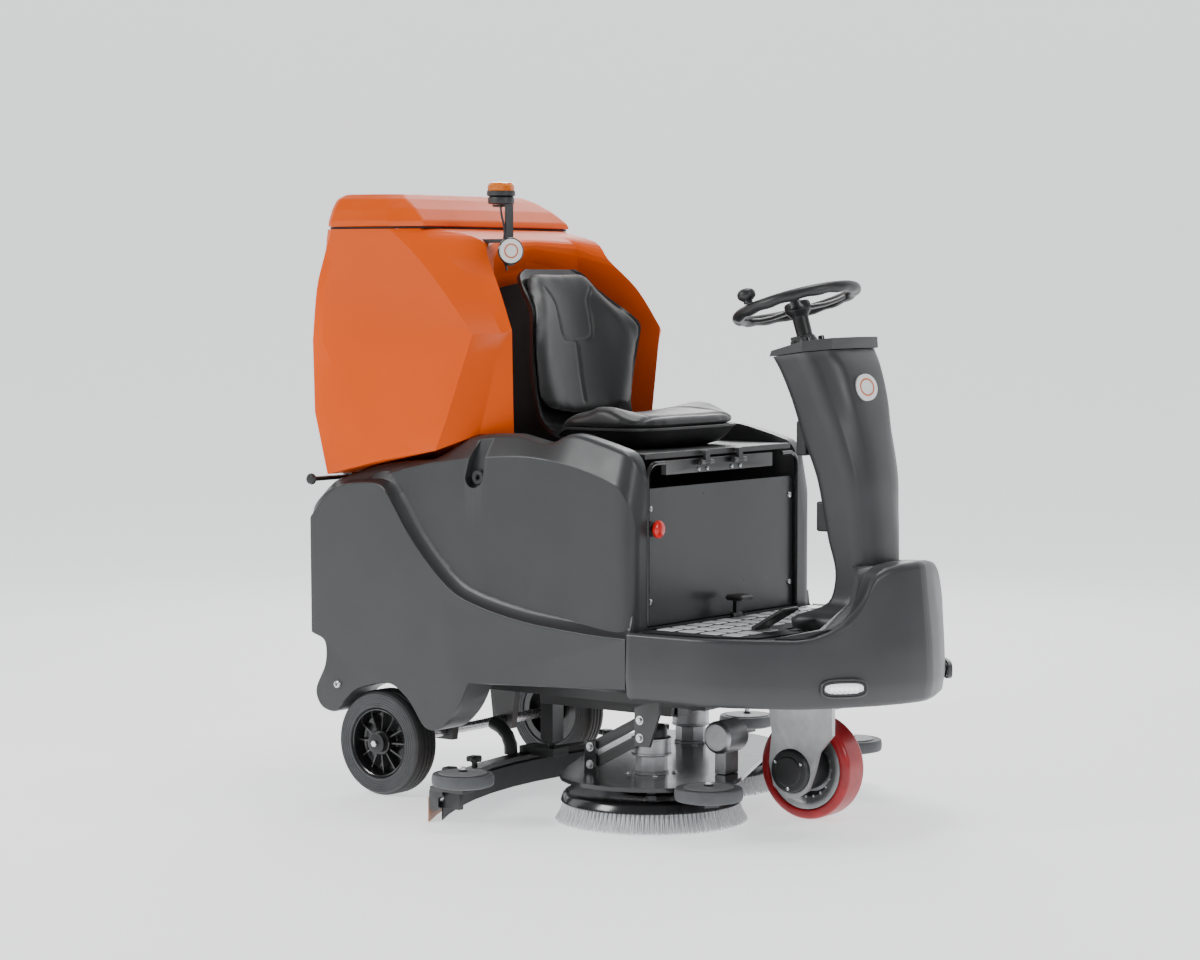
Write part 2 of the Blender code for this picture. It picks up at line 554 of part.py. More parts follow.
COLUMN = [  # height, then (x, half width) of the rear corner, the side crease and the front corner
    (0.4415, (0.990, 0.112), (1.125, 0.122), (1.178, 0.085)),
    (0.468, (0.992, 0.112), (1.125, 0.118), (1.178, 0.080)),
    (0.490, (1.050, 0.088), (1.130, 0.098), (1.174, 0.070)),
    (0.510, (1.072, 0.081), (1.138, 0.088), (1.172, 0.064)),
    (0.570, (1.081, 0.078), (1.146, 0.083), (1.170, 0.056)),
    (0.640, (1.066, 0.082), (1.148, 0.087), (1.168, 0.052)),
    (0.700, (1.058, 0.088), (1.146, 0.091), (1.162, 0.052)),
    (0.780, (1.044, 0.096), (1.138, 0.101), (1.156, 0.058)),
    (0.870, (1.012, 0.104), (1.112, 0.113), (1.140, 0.066)),
    (0.940, (0.990, 0.110), (1.082, 0.124), (1.124, 0.080)),
    (1.010, (0.960, 0.116), (1.054, 0.134), (1.100, 0.086))]
COLUMN_TOP = (1.0435, (0.942, 0.120), (1.036, 0.140), (1.078, 0.096))
COLUMN_TOP_SLOPE = 0.121
COLUMN_BULGE = [(0.0, 0.0), (0.57, 0.0), (0.70, 0.022), (0.94, 0.026), (1.05, 0.012)]


def column_top(x):
    return COLUMN_TOP[0] + COLUMN_TOP_SLOPE * (x - COLUMN_TOP[1][0])


def column_loops(grow=0.0, base=None):
    """Plan loops of the column; the back bulges rearwards between its two rear corners."""
    loops = []
    for z, rear, crease, front in COLUMN + [COLUMN_TOP]:
        level = base if base is not None and z < 0.45 else z
        half = [(rear[0] - at(COLUMN_BULGE, z) - grow, rear[1] * 0.55), (rear[0] - grow, rear[1] + grow),
                (crease[0], crease[1] + grow), (front[0] + grow, front[1] + grow),
                (front[0] + 0.006 + grow, front[1] * 0.4)]
        loop = [(x, -y) for x, y in half] + [(x, y) for x, y in reversed(half)]
        loops.append([(x, y, column_top(x) if z == COLUMN_TOP[0] else level) for x, y in loop])
    return loops


def build_column():
    outer = column_loops()
    inner = column_loops(-0.005)
    cover = loft(outer + inner[::-1], ring=True)
    node("column_cover", cover, GREY, angle=30)

    loops = []
    for z, rear, _, _ in COLUMN[5:11]:
        w = rear[1] * 0.55 - 0.001
        x = rear[0] - at(COLUMN_BULGE, z) - 0.0006
        depth = 0.008 if z < 0.9 else 0.004
        loops.append([(x, -w, z), (x - depth, -w + 0.008, z), (x - depth, w - 0.008, z), (x, w, z)])
    node("column_inner_panel", loft(loops), BLACK)

    top = [(0.931, 0.0, 1.0550), (0.936, -0.124, 1.0560), (1.038, -0.146, 1.0790),
         (1.086, -0.098, 1.0860), (1.092, 0, 1.0870)]
    low = [(x, y, column_top(x) + 0.0008) for x, y in
           [(0.932, 0.0), (0.937, -0.123), (1.036, -0.145), (1.084, -0.097), (1.091, 0.0)]]
    dash = loft([mirrored(low), mirrored([(x + (0.004 if x < 1 else -0.003), y * 0.97, z) for x, y,
         z in top])])
    boot = WHEEL_CENTRE - STEER_AXIS * 0.102
    dash = fuse(dash, lathe([(0, 0), (0.027, 0), (0.026, 0.014), (0.021, 0.0255),
         (0, 0.0255)], boot, STEER_AXIS, 16))
    dash = cut(dash, rod(SHAFT_R + 0.0006, WHEEL_CENTRE - STEER_AXIS * 0.06,
         WHEEL_CENTRE - STEER_AXIS * 0.14, 16))
    node("dashboard", dash, BLACK)

    normal = Vector((-0.2228, 0.0, 0.9749))
    key = Vector((0.985, -0.090, 1.0692))
    switch = lathe([(0, 0.0010), (0.011, 0.0010), (0.011, 0.008), (0, 0.009)], key, normal, 20)
    grip = box(-0.009, 0.009, -0.0025, 0.0025, 0.004, 0.018)
    grip.data.transform(Z_AXIS.rotation_difference(normal).to_matrix().to_4x4())
    grip.data.transform(Matrix.Translation(key))
    node("key_switch", fuse(switch, grip), BLACK, key)


# ---- front panel, seat --------------------------------------------------------------------
def build_panel_and_seat():
    outline = [(-0.300, 0.4425), (0.300, 0.4425), (0.300, 0.738), (0.288, 0.750), (-0.288, 0.750),
         (-0.300, 0.738)]
    node("front_panel", prism(outline, "x", 0.7220, 0.7260), PANEL)

    base = lathe([(0, 0.0), (0.0175, 0.0), (0.0175, 0.0120), (0.0165, 0.0140), (0.0070, 0.0140),
         (0.0070, 0.0037),
                  (0, 0.0037)], (0.7263, -0.285, 0.661), X_AXIS, 16)
    node("emergency_button_base", base, BLACK)
    button = lathe([(0, 0.0107), (0.0062, 0.0107), (0.0062, 0.0215), (0.018, 0.0215), (0.0200, 0.0240),
                    (0.0195, 0.0290), (0.014, 0.0335), (0, 0.0350)], (0.7263, -0.285, 0.661), X_AXIS, 16)
    node("emergency_button", button, BUTTON_RED, (0.7263, -0.285, 0.661))

    bar = box(0.7100, 0.7235, -0.2158, 0.2158, 0.7770, 0.8090)
    hx, hz = SEAT_HINGE[0] - 0.0015, SEAT_HINGE[1]
    for y in (-0.072, 0.062):
        for low, high in ((-0.025, -0.009), (0.009, 0.025)):
            bar = fuse(bar, box(0.716, hx, y + low, y + high, hz - 0.0052, hz + 0.0052),
                       rod(0.0064, (hx, y + low, hz), (hx, y + high, hz), 12))
        bar = fuse(bar, rod(0.0028, (hx, y - 0.0245, hz), (hx, y + 0.0245, hz), 12))
    node("seat_crossbar", bar, FRAME)

    plate = box(0.385, 0.722, -0.295, 0.295, 0.8150, 0.8270)
    for y in (-0.072, 0.062):
        plate = fuse(plate, box(0.700, 0.7385, y - 0.0082, y + 0.0082, 0.8192, 0.8264),
                     box(hx - 0.0040, hx + 0.0046, y - 0.0082, y + 0.0082, hz, 0.8262),
                     rod(0.0062, (hx, y - 0.0082, hz), (hx, y + 0.0082, hz), 12))
        plate = cut(plate, rod(0.0034, (hx, y - 0.03, hz), (hx, y + 0.03, hz), 12))
    node("seat_plate", plate, BLACK, (hx, 0.0, hz))
    pivot = (hx, 0.0, hz)

    # shell stations: x, z, half width, edge curl, towards-the-sitter direction in the xz plane
    path = [(0.655, 0.846, 0.150, 0.004, 90), (0.620, 0.838, 0.185, 0.006, 90),
         (0.520, 0.836, 0.205, 0.008, 90),
            (0.430, 0.838, 0.205, 0.012, 88), (0.366, 0.852, 0.192, 0.020, 62),
                 (0.336, 0.890, 0.178, 0.028, 25),
            (0.324, 0.940, 0.180, 0.034, 12), (0.313, 1.000, 0.190, 0.038, 12),
                 (0.300, 1.070, 0.203, 0.040, 13),
            (0.286, 1.140, 0.203, 0.038, 15), (0.262, 1.205, 0.190, 0.030, 18),
                 (0.248, 1.240, 0.140, 0.016, 20)]
    columns = [-1.0, -0.8, -0.45, 0.0, 0.45, 0.8, 1.0]

    def section(station, low, high, shrink=1.0, crown=0.0):
        x, z, w, curl, degrees = station
        n = Vector((math.cos(math.radians(degrees)), 0, math.sin(math.radians(degrees))))
        front = []
        back = []
        for t in columns:
            base = Vector((x, t * w * shrink, z)) + n * curl * (t * shrink) ** 2
            front.append(base + n * (high - crown * abs(t) ** 3))
            back.append(base + n * low)
        return front + back[::-1]

    shell = loft([section(s, -0.0075, 0.0) for s in path])
    node("seat_shell", shell, BLACK, pivot, angle=50)

    def cushion(stations, thickness, edge):
        loops = [section(stations[0], GAP * 2, edge * 0.8, 0.90, 0.002)]
        for i, s in enumerate(stations):
            full = thickness if 0 < i < len(stations) - 1 else (thickness + edge) / 2
            loops.append(section(s, GAP * 2, full, 0.965, thickness * 0.38))
        loops.append(section(stations[-1], GAP * 2, edge * 0.8, 0.90, 0.002))
        first, last = loops[0], loops[-1]
        step0 = (Vector(loops[1][3]) - Vector(loops[2][3])).normalized() * 0.010
        step1 = (Vector(loops[-2][3]) - Vector(loops[-3][3])).normalized() * 0.008
        loops[0] = [p + Vector((step0.x, 0, 0)) for p in first]
        loops[-1] = [p + Vector((0, 0, step1.z)) for p in last]
        return loft(loops)

    seat = cushion([(0.658, 0.855, 0.178, 0.004, 90), (0.640, 0.853, 0.198, 0.006, 90),
                    (0.560, 0.849, 0.222, 0.008, 90), (0.480, 0.850, 0.228, 0.010, 90),
                    (0.430, 0.864, 0.212, 0.008, 88)], 0.064, 0.040)
    node("seat_cushion", seat, VINYL, pivot, angle=50)
    back = cushion([(0.330, 0.950, 0.160, 0.036, 12), (0.322, 0.985, 0.176, 0.036, 12),
                    (0.314, 1.035, 0.190, 0.038, 12), (0.301, 1.100, 0.200, 0.038, 14),
                    (0.285, 1.165, 0.196, 0.032, 16), (0.266, 1.212, 0.165, 0.022, 18)], 0.046, 0.022)
    node("seat_back", back, VINYL, pivot, angle=50)


# ---- recovery tank ------------------------------------------------------------------------
TANK = [  # rear, rear side, side, side crease, wing front, wing inner edge, recess corner, middle
    [(-0.165, -0.330, 0.752), (-0.158, -0.362, 0.753), (-0.020, -0.379, 0.7875), (0.190, -0.381, 0.8210),
     (0.262, -0.312, 0.8580), (0.262, -0.262, 0.8580), (0.152, -0.235, 0.8080), (0.148, 0.0, 0.8080)],
    [(-0.205, -0.330, 0.815), (-0.192, -0.364, 0.815), (-0.015, -0.383, 0.8400), (0.215, -0.384, 0.8500),
     (0.270, -0.312, 0.8950), (0.272, -0.262, 0.8950), (0.150, -0.235, 0.8800), (0.146, 0.0, 0.8800)],
    [(-0.210, -0.330, 0.960), (-0.196, -0.362, 0.960), (-0.030, -0.381, 0.9600), (0.250, -0.379, 0.9650),
     (0.292, -0.312, 0.9600), (0.302, -0.264, 0.9600), (0.146, -0.235, 0.9600), (0.142, 0.0, 0.9600)],
    [(-0.215, -0.330, 1.110), (-0.203, -0.360, 1.110), (-0.030, -0.375, 1.1000), (0.293, -0.371, 1.0900),
     (0.334, -0.312, 1.0960), (0.333, -0.265, 1.1000), (0.144, -0.230, 1.1000), (0.140, 0.0, 1.1000)],
    [(-0.208, -0.326, 1.190), (-0.196, -0.354, 1.190), (-0.020, -0.356, 1.1950), (0.175, -0.338, 1.1950),
     (0.236, -0.292, 1.2000), (0.276, -0.259, 1.1900), (0.152, -0.210, 1.2000), (0.148, 0.0, 1.2450)],
    [(-0.200, -0.320, 1.262), (-0.182, -0.345, 1.262), (-0.020, -0.333, 1.2650), (0.084, -0.315, 1.2650),
     (0.150, -0.287, 1.2650), (0.228, -0.236, 1.2650), (0.192, -0.140, 1.2880), (0.188, 0.0, 1.2960)],
    [(-0.195, -0.314, 1.333), (-0.168, -0.332, 1.333), (-0.090, -0.322, 1.3330), (-0.010, -0.308, 1.3330),
     (0.074, -0.280, 1.3330), (0.080, -0.220, 1.3330), (0.086, -0.120, 1.3330), (0.088, 0.0, 1.3330)]]


def build_recovery_tank():
    tank = loft([mirrored(level) for level in TANK])
    hollow = [(0.845, [(-0.180, -0.300), (-0.170, -0.340), (0.00, -0.366), (0.120, -0.366), (0.135, -0.245),
                       (0.134, 0.0)]),
              (1.100, [(-0.203, -0.310), (-0.190, -0.348), (0.00, -0.362), (0.120, -0.360), (0.130, -0.240),
                       (0.130, 0.0)]),
              (1.200, [(-0.199, -0.310), (-0.186, -0.342), (-0.02, -0.345), (0.100, -0.330), (0.125, -0.230),
                       (0.135, 0.0)]),
              (1.262, [(-0.190, -0.305), (-0.172, -0.330), (-0.02, -0.320), (0.070, -0.305), (0.120, -0.220),
                       (0.130, 0.0)]),
              (1.340, [(-0.180, -0.295), (-0.160, -0.316), (-0.09, -0.305), (-0.01, -0.290), (0.058, -0.262),
                       (0.066, 0.0)])]
    tank = cut(tank, loft([mirrored([(x, y, z) for x, y in plan]) for z, plan in hollow]))
    for sign in SIDES.values():
        lug = box(-0.199, -0.171, sign * 0.2000, sign * 0.2300, 0.728, 0.800)
        lug = cut(lug, rod(0.0066, (TANK_HINGE[0], sign * 0.1, TANK_HINGE[1]),
                           (TANK_HINGE[0], sign * 0.3, TANK_HINGE[1]), 16))
        tank = fuse(tank, lug)
    pivot = (TANK_HINGE[0], 0.0, TANK_HINGE[1])
    node("recovery_tank", tank, ORANGE, pivot, angle=14)

    hinge = lathe([(0, -0.397), (0.011, -0.396), (0.014, -0.390), (0.014, -0.386), (0.0060, -0.386),
                   (0.0060, 0.386), (0.014, 0.386), (0.014, 0.390), (0.011, 0.396), (0, 0.397)],
                  pivot, Y_AXIS, 12)
    node("tank_hinge_rod", hinge, BLACK)

    rim = [(-0.191, -0.310), (-0.165, -0.328), (-0.090, -0.318), (-0.010, -0.304), (0.070, -0.276),
         (0.083, 0.0)]
    seal = mirrored([(x, y, 0.0) for x, y in rim])
    plan = [(x, y) for x, y, _ in seal]
    inner = offset_loop(plan, 0.009)
    gasket = loft([at_height(plan, 1.3334), at_height(plan, 1.3382), at_height(inner, 1.3382),
                   at_height(inner, 1.3334)], ring=True)
    node("lid_gasket", gasket, GASKET, pivot)

    levels = [(1.3386, [(-0.197, -0.312), (-0.170, -0.333), (-0.090, -0.324), (-0.010, -0.309),
         (0.077, -0.281),
                        (0.091, 0.0)]),
              (1.352, [(-0.197, -0.310), (-0.170, -0.331), (-0.090, -0.321), (-0.012, -0.306),
                   (0.072, -0.278),
                       (0.085, 0.0)]),
              (1.380, [(-0.193, -0.302), (-0.168, -0.320), (-0.090, -0.308), (-0.020, -0.292),
                   (0.036, -0.266),
                       (0.048, 0.0)]),
              (1.404, [(-0.188, -0.290), (-0.166, -0.304), (-0.096, -0.290), (-0.040, -0.274),
                   (-0.006, -0.250),
                       (0.004, 0.0)]),
              (1.416, [(-0.180, -0.266), (-0.160, -0.278), (-0.100, -0.268), (-0.060, -0.252),
                   (-0.032, -0.228),
                       (-0.024, 0.0)])]
    lid = loft([mirrored([(x, y, z) for x, y in plan]) for z, plan in levels])
    under = [(1.330, 0.012), (1.352, 0.012), (1.404, 0.014)]
    cavity = []
    for z, inset in under:
        plan = [(x, y) for x, y, _ in mirrored([(x, y, z) for x,
             y in dict(levels)[1.3386 if z < 1.34 else z]])]
        cavity.append(at_height(offset_loop(plan, inset), z))
    lid = cut(lid, loft(cavity))
    node("tank_lid", lid, ORANGE, (LID_HINGE[0], 0.0, LID_HINGE[1]), angle=12)

    arm = box(0.2620, 0.2670, -0.2130, -0.1870, 1.2560, 1.3880)
    arm = fuse(arm, rod(0.0285, (0.2610, -0.2, 1.274), (0.2700, -0.2, 1.274), 24),
               box(0.2250, 0.2660, -0.2125, -0.1875, 1.3820, 1.3875),
               box(0.1660, 0.2640, -0.2090, -0.1910, 1.2990, 1.3080))
    node("beacon_arm", arm, BLACK, pivot)
    centre = (0.241, -0.200, 0.0)
    base = lathe([(0, 1.3886), (0.029, 1.3886), (0.031, 1.391), (0.031, 1.404), (0.027, 1.407), (0, 1.407)],
                 centre, Z_AXIS, 16)
    node("beacon_base", base, BLACK, pivot)
    lens = lathe([(0, 1.4074), (0.0265, 1.4074), (0.0275, 1.412), (0.0265, 1.432), (0.021, 1.438),
         (0, 1.440)],
                 centre, Z_AXIS, 16)
    node("beacon_lens", lens, LENS, pivot)


# ---- brush deck ---------------------------------------------------------------------------
def hull_of_discs(centres, radius, steps=28):
    """Plan outline of the belt round two equal discs."""
    (ax, ay), (bx, by) = centres
    heading = math.atan2(by - ay, bx - ax)
    outline = []
    for (cx, cy), start in (((bx, by), heading - math.pi / 2), ((ax, ay), heading + math.pi / 2)):
        for i in range(steps // 2 + 1):
            a = start + math.pi * i / (steps // 2)
            outline.append((cx + radius * math.cos(a), cy + radius * math.sin(a)))
    return outline


def build_brush_deck():
    discs = [BRUSH_CENTRES["right"], BRUSH_CENTRES["left"]]
    deck = prism(hull_of_discs(discs, DECK_DISC_R), "z", *DECK_Z)
    for side, (rx, ry) in DECK_ROLLERS.items():
        cx, cy = BRUSH_CENTRES[side]
        span = math.hypot(rx - cx, ry - cy)
        turn = Matrix.Translation((cx, cy, 0)) @ Matrix.Rotation(math.atan2(ry - cy, rx - cx), 4, "Z")
        strap = box(0.160, span + 0.016, -0.018, 0.018, 0.0740, 0.0822)
        riser = box(0.165, 0.190, -0.0175, 0.0175, 0.0745, 0.1000)
        for piece in (strap, riser):
            piece.data.transform(turn)
        deck = fuse(deck, riser, strap, rod(0.0100, (rx, ry, 0.078), (rx, ry, 0.1240), 16))
    upright = prism([(0.566, 0.100), (0.600, 0.100), (0.598, 0.176), (0.568, 0.176)], "y", -0.3125, -0.3045)
    deck = fuse(deck, upright)
    for _, moving_z in LINK_Z.values():
        deck = fuse(deck, rod(0.0050, (LINK_REAR_X, -0.3120, moving_z), (LINK_REAR_X, -0.2952, moving_z), 16))
    for cx, cy in BRUSH_CENTRES.values():
        deck = cut(deck, rod(0.0135, (cx, cy, 0.08), (cx, cy, 0.12), 16))
    hinge = (LINK_REAR_X, 0.0, LINK_Z["upper"][1])
    node("brush_deck", deck, FRAME, hinge)

    for side, (cx, cy) in BRUSH_CENTRES.items():
        motor = lathe([(0, 0.216), (0.032, 0.216), (0.036, 0.208), (0.036, 0.189), (0.046, 0.188),
             (0.046, 0.148),
                       (0.037, 0.147), (0.037, DECK_Z[1] + GAP * 2), (0.0110, DECK_Z[1] + GAP * 2),
                       (0.0110, 0.0530), (0, 0.0530)], (cx, cy, 0.0), Z_AXIS, 16)
        node("brush_motor_" + side, motor, CAST, hinge)
        brush = lathe([(0.0120, 0.070), (0.188, 0.070), (0.200, 0.066), (BRUSH_PLATE_R, 0.048),
                       (BRUSH_R, 0.003), (0.120, 0.003), (0.120, 0.046),
                       (0.0120, 0.046)], (cx, cy, 0.0), Z_AXIS, 32)
        node("brush_" + side, brush, BRISTLE, (cx, cy, 0.05))
        rx, ry = DECK_ROLLERS[side]
        roller = lathe([(0.0106, 0.0850), (0.070, 0.0850), (ROLLER_R, 0.090), (ROLLER_R, 0.112),
             (0.071, 0.118),
                        (0.0106, 0.1200)], (rx, ry, 0.0), Z_AXIS, 24)
        node("deck_roller_" + side, roller, RUBBER, (rx, ry, 0.10))

    pump = lathe([(0, -0.046), (0.030, -0.046), (0.037, -0.040), (0.038, 0.030), (0.024, 0.034),
         (0.024, 0.050),
                  (0, 0.050)], (0.836, -0.135, 0.190), Y_AXIS, 20)
    pump = fuse(pump, box(0.822, 0.850, -0.165, -0.111, DECK_Z[1] + GAP * 2, 0.160))
    node("solution_pump", pump, CAST, hinge)

    for name, (front_z, rear_z) in LINK_Z.items():
        a = Vector((LINK_FRONT_X, 0, front_z))
        b = Vector((LINK_REAR_X, 0, rear_z))
        along = (b - a).normalized()
        across = Vector((-along.z, 0, along.x))
        outline = []
        for end, way in ((b, 1), (a, -1)):
            for i in range(7):
                t = math.pi * (i / 6 - 0.5)
                p = end + way * 0.0115 * (along * math.cos(t) + across * math.sin(t))
                outline.append((p.x, p.z))
        arm = prism(outline, "y", LINK_Y - 0.0030, LINK_Y + 0.0030)
        for end in (a, b):
            arm = cut(arm, rod(0.0056, (end.x, LINK_Y - 0.02, end.z), (end.x, LINK_Y + 0.02, end.z), 16))
        node("deck_link_" + name, arm, FRAME, (LINK_FRONT_X, 0.0, front_z))


# ---- squeegee -----------------------------------------------------------------------------
BOW_STATIONS = [SQUEEGEE_HALF_W * (i / 6 - 1) for i in range(13)]
BOW = [(y, SQUEEGEE_X + SQUEEGEE_BOW * y * y) for y in BOW_STATIONS]


def bowed(offset, y, z):
    return (at(BOW, y) + offset, y, z)


def build_squeegee():
    lift = (SQUEEGEE_PIVOT[0], 0.0, SQUEEGEE_PIVOT[1])
    swing = (SQUEEGEE_SWING_X, 0.0, 0.09)
    low, high = 0.030, 0.075
    bar = loft([[bowed(-0.0145, y, low), bowed(0.0125, y, low), bowed(0.0125, y, 0.058), bowed(0.024, y,
         0.066),
                 bowed(0.024, y, high), bowed(-0.0145, y, high)] for y in BOW_STATIONS])
    bar = fuse(bar, box(0.158, 0.262, -0.030, 0.030, 0.0720, 0.0920))
    bar = cut(bar, rod(0.0086, (SQUEEGEE_SWING_X, 0, 0.06), (SQUEEGEE_SWING_X, 0, 0.11), 16))
    for sign in SIDES.values():
        x, y = SQUEEGEE_ROLLER[0], sign * SQUEEGEE_ROLLER[1]
        bar = fuse(bar, box(0.330, 0.405, *sorted((sign * 0.546, sign * 0.560)), 0.0350, 0.0860),
                   box(0.340, x + 0.014, *sorted((sign * 0.545, sign * 0.585)), 0.0765, 0.0865),
                   rod(0.0080, (x, y, 0.080), (x, y, 0.1290), 16))
    node("squeegee_bar", bar, FRAME, swing)
    for name, offset, thick, base, end in (("rear", -0.0150, -0.0045, 0.0005, 0.565),
                                           ("front", 0.0130, 0.0040, 0.0030, 0.538)):
        blade = loft([[bowed(offset, y, base), bowed(offset + thick, y, base), bowed(offset + thick, y,
             0.0560),
                       bowed(offset, y, 0.0560)] for y in [-end] + BOW_STATIONS[1:-1] + [end]])
        node("squeegee_blade_" + name, blade, AMBER, swing)
    for side, sign in SIDES.items():
        x, y = SQUEEGEE_ROLLER[0], sign * SQUEEGEE_ROLLER[1]
        roller = lathe([(0.0086, 0.0900), (0.066, 0.0900), (SQUEEGEE_ROLLER_R, 0.095),
             (SQUEEGEE_ROLLER_R, 0.116),
                        (0.066, 0.122), (0.0086, 0.1245)], (x, y, 0.0), Z_AXIS, 24)
        node("squeegee_roller_" + side, roller, RUBBER, (x, y, 0.10))
    hose = tube([(0.158, -0.062, 0.0756), (0.157, -0.062, 0.098), (0.146, -0.061, 0.120),
         (0.126, -0.060, 0.137),
                 (0.100, -0.059, 0.147)], 0.0165, 12)
    node("suction_hose", hose, BLACK, swing)

    arm = box(0.216, 0.620, -0.0220, 0.0220, 0.1990, 0.2290)
    arm = fuse(arm, box(0.2165, 0.2535, -0.0215, 0.0215, 0.1050, 0.2200),
               rod(0.0080, (SQUEEGEE_SWING_X, 0, 0.0700), (SQUEEGEE_SWING_X, 0, 0.1200), 16))
    arm = cut(arm, rod(0.0086, (SQUEEGEE_PIVOT[0], -0.05, SQUEEGEE_PIVOT[1]),
                       (SQUEEGEE_PIVOT[0], 0.05, SQUEEGEE_PIVOT[1]), 16))
    node("squeegee_arm", arm, FRAME, lift)


# ---- pedals -------------------------------------------------------------------------------
def build_pedals():
    heel = Vector((0.955, -0.180, 0.4475))
    slope = math.radians(30)
    pedal = rod(0.0058, heel + Vector((0, -0.030, 0)), heel + Vector((0, 0.030, 0)), 16)
    pad = box(0.001, 0.090, -0.034, 0.034, -0.0035, 0.0045, 0.002)
    pad.data.transform(Matrix.Translation(heel) @ Matrix.Rotation(-slope, 4, "Y"))
    node("drive_pedal", fuse(pedal, pad), BLACK, heel)

    foot = Vector((0.768, 0.0, 0.4475))
    pedal = rod(0.0058, foot + Vector((0, -0.018, 0)), foot + Vector((0, 0.018, 0)), 16)
    stalk = box(0.763, 0.773, -0.007, 0.007, 0.4465, 0.4840)
    pad = box(0.752, 0.800, -0.026, 0.026, 0.4810, 0.4940, 0.005)
    node("squeegee_pedal", fuse(pedal, stalk, pad), BLACK, foot)


build_chassis()
build_rear_wheels()
build_drive_unit()
build_solution_tank()
build_front_deck()
build_column()
build_panel_and_seat()
build_recovery_tank()
build_brush_deck()
build_squeegee()
build_pedals()
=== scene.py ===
import json
import math

import bmesh
import bpy
from mathutils import Matrix, Vector
from mathutils.bvhtree import BVHTree

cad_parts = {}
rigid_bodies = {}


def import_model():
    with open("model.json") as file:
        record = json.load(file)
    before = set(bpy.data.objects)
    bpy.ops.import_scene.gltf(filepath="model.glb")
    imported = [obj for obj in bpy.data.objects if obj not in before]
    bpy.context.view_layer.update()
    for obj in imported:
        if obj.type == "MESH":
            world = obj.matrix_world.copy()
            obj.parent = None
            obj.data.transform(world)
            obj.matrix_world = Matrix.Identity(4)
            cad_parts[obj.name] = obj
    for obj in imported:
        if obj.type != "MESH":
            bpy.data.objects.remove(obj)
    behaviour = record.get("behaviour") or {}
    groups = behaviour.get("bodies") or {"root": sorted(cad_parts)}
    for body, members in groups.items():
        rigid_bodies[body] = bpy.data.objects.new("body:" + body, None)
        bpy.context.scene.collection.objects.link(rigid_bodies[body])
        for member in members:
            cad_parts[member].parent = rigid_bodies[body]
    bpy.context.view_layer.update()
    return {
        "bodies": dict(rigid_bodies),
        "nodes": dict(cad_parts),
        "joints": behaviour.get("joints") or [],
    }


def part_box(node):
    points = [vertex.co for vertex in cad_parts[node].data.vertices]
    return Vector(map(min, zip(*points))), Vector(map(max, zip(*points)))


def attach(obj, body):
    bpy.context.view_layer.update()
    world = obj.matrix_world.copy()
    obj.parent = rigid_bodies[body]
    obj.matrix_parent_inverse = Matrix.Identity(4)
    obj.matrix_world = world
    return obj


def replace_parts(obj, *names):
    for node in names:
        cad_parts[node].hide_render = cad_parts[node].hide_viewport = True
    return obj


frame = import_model()

# ---- places taken from the frame ----------------------------------------------------------
X_AXIS = Vector((1.0, 0.0, 0.0))
Y_AXIS = Vector((0.0, 1.0, 0.0))
Z_AXIS = Vector((0.0, 0.0, 1.0))
SIDES = {"right": -1, "left": 1}


def middle(node):
    low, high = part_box(node)
    return (low + high) / 2


AXLE = middle("rear_axle")                       # lengths along the machine count from the rear axle
BODY_OF = {node: body for body, empty in frame["bodies"].items()
           for node, obj in frame["nodes"].items() if obj.parent is empty}


def place(x, y, z):
    """A point given from the rear axle, the middle of the machine and the floor."""
    return Vector((x + AXLE.x, y, z))


def joint(name):
    return next(j for j in frame["joints"] if j["name"] == name)


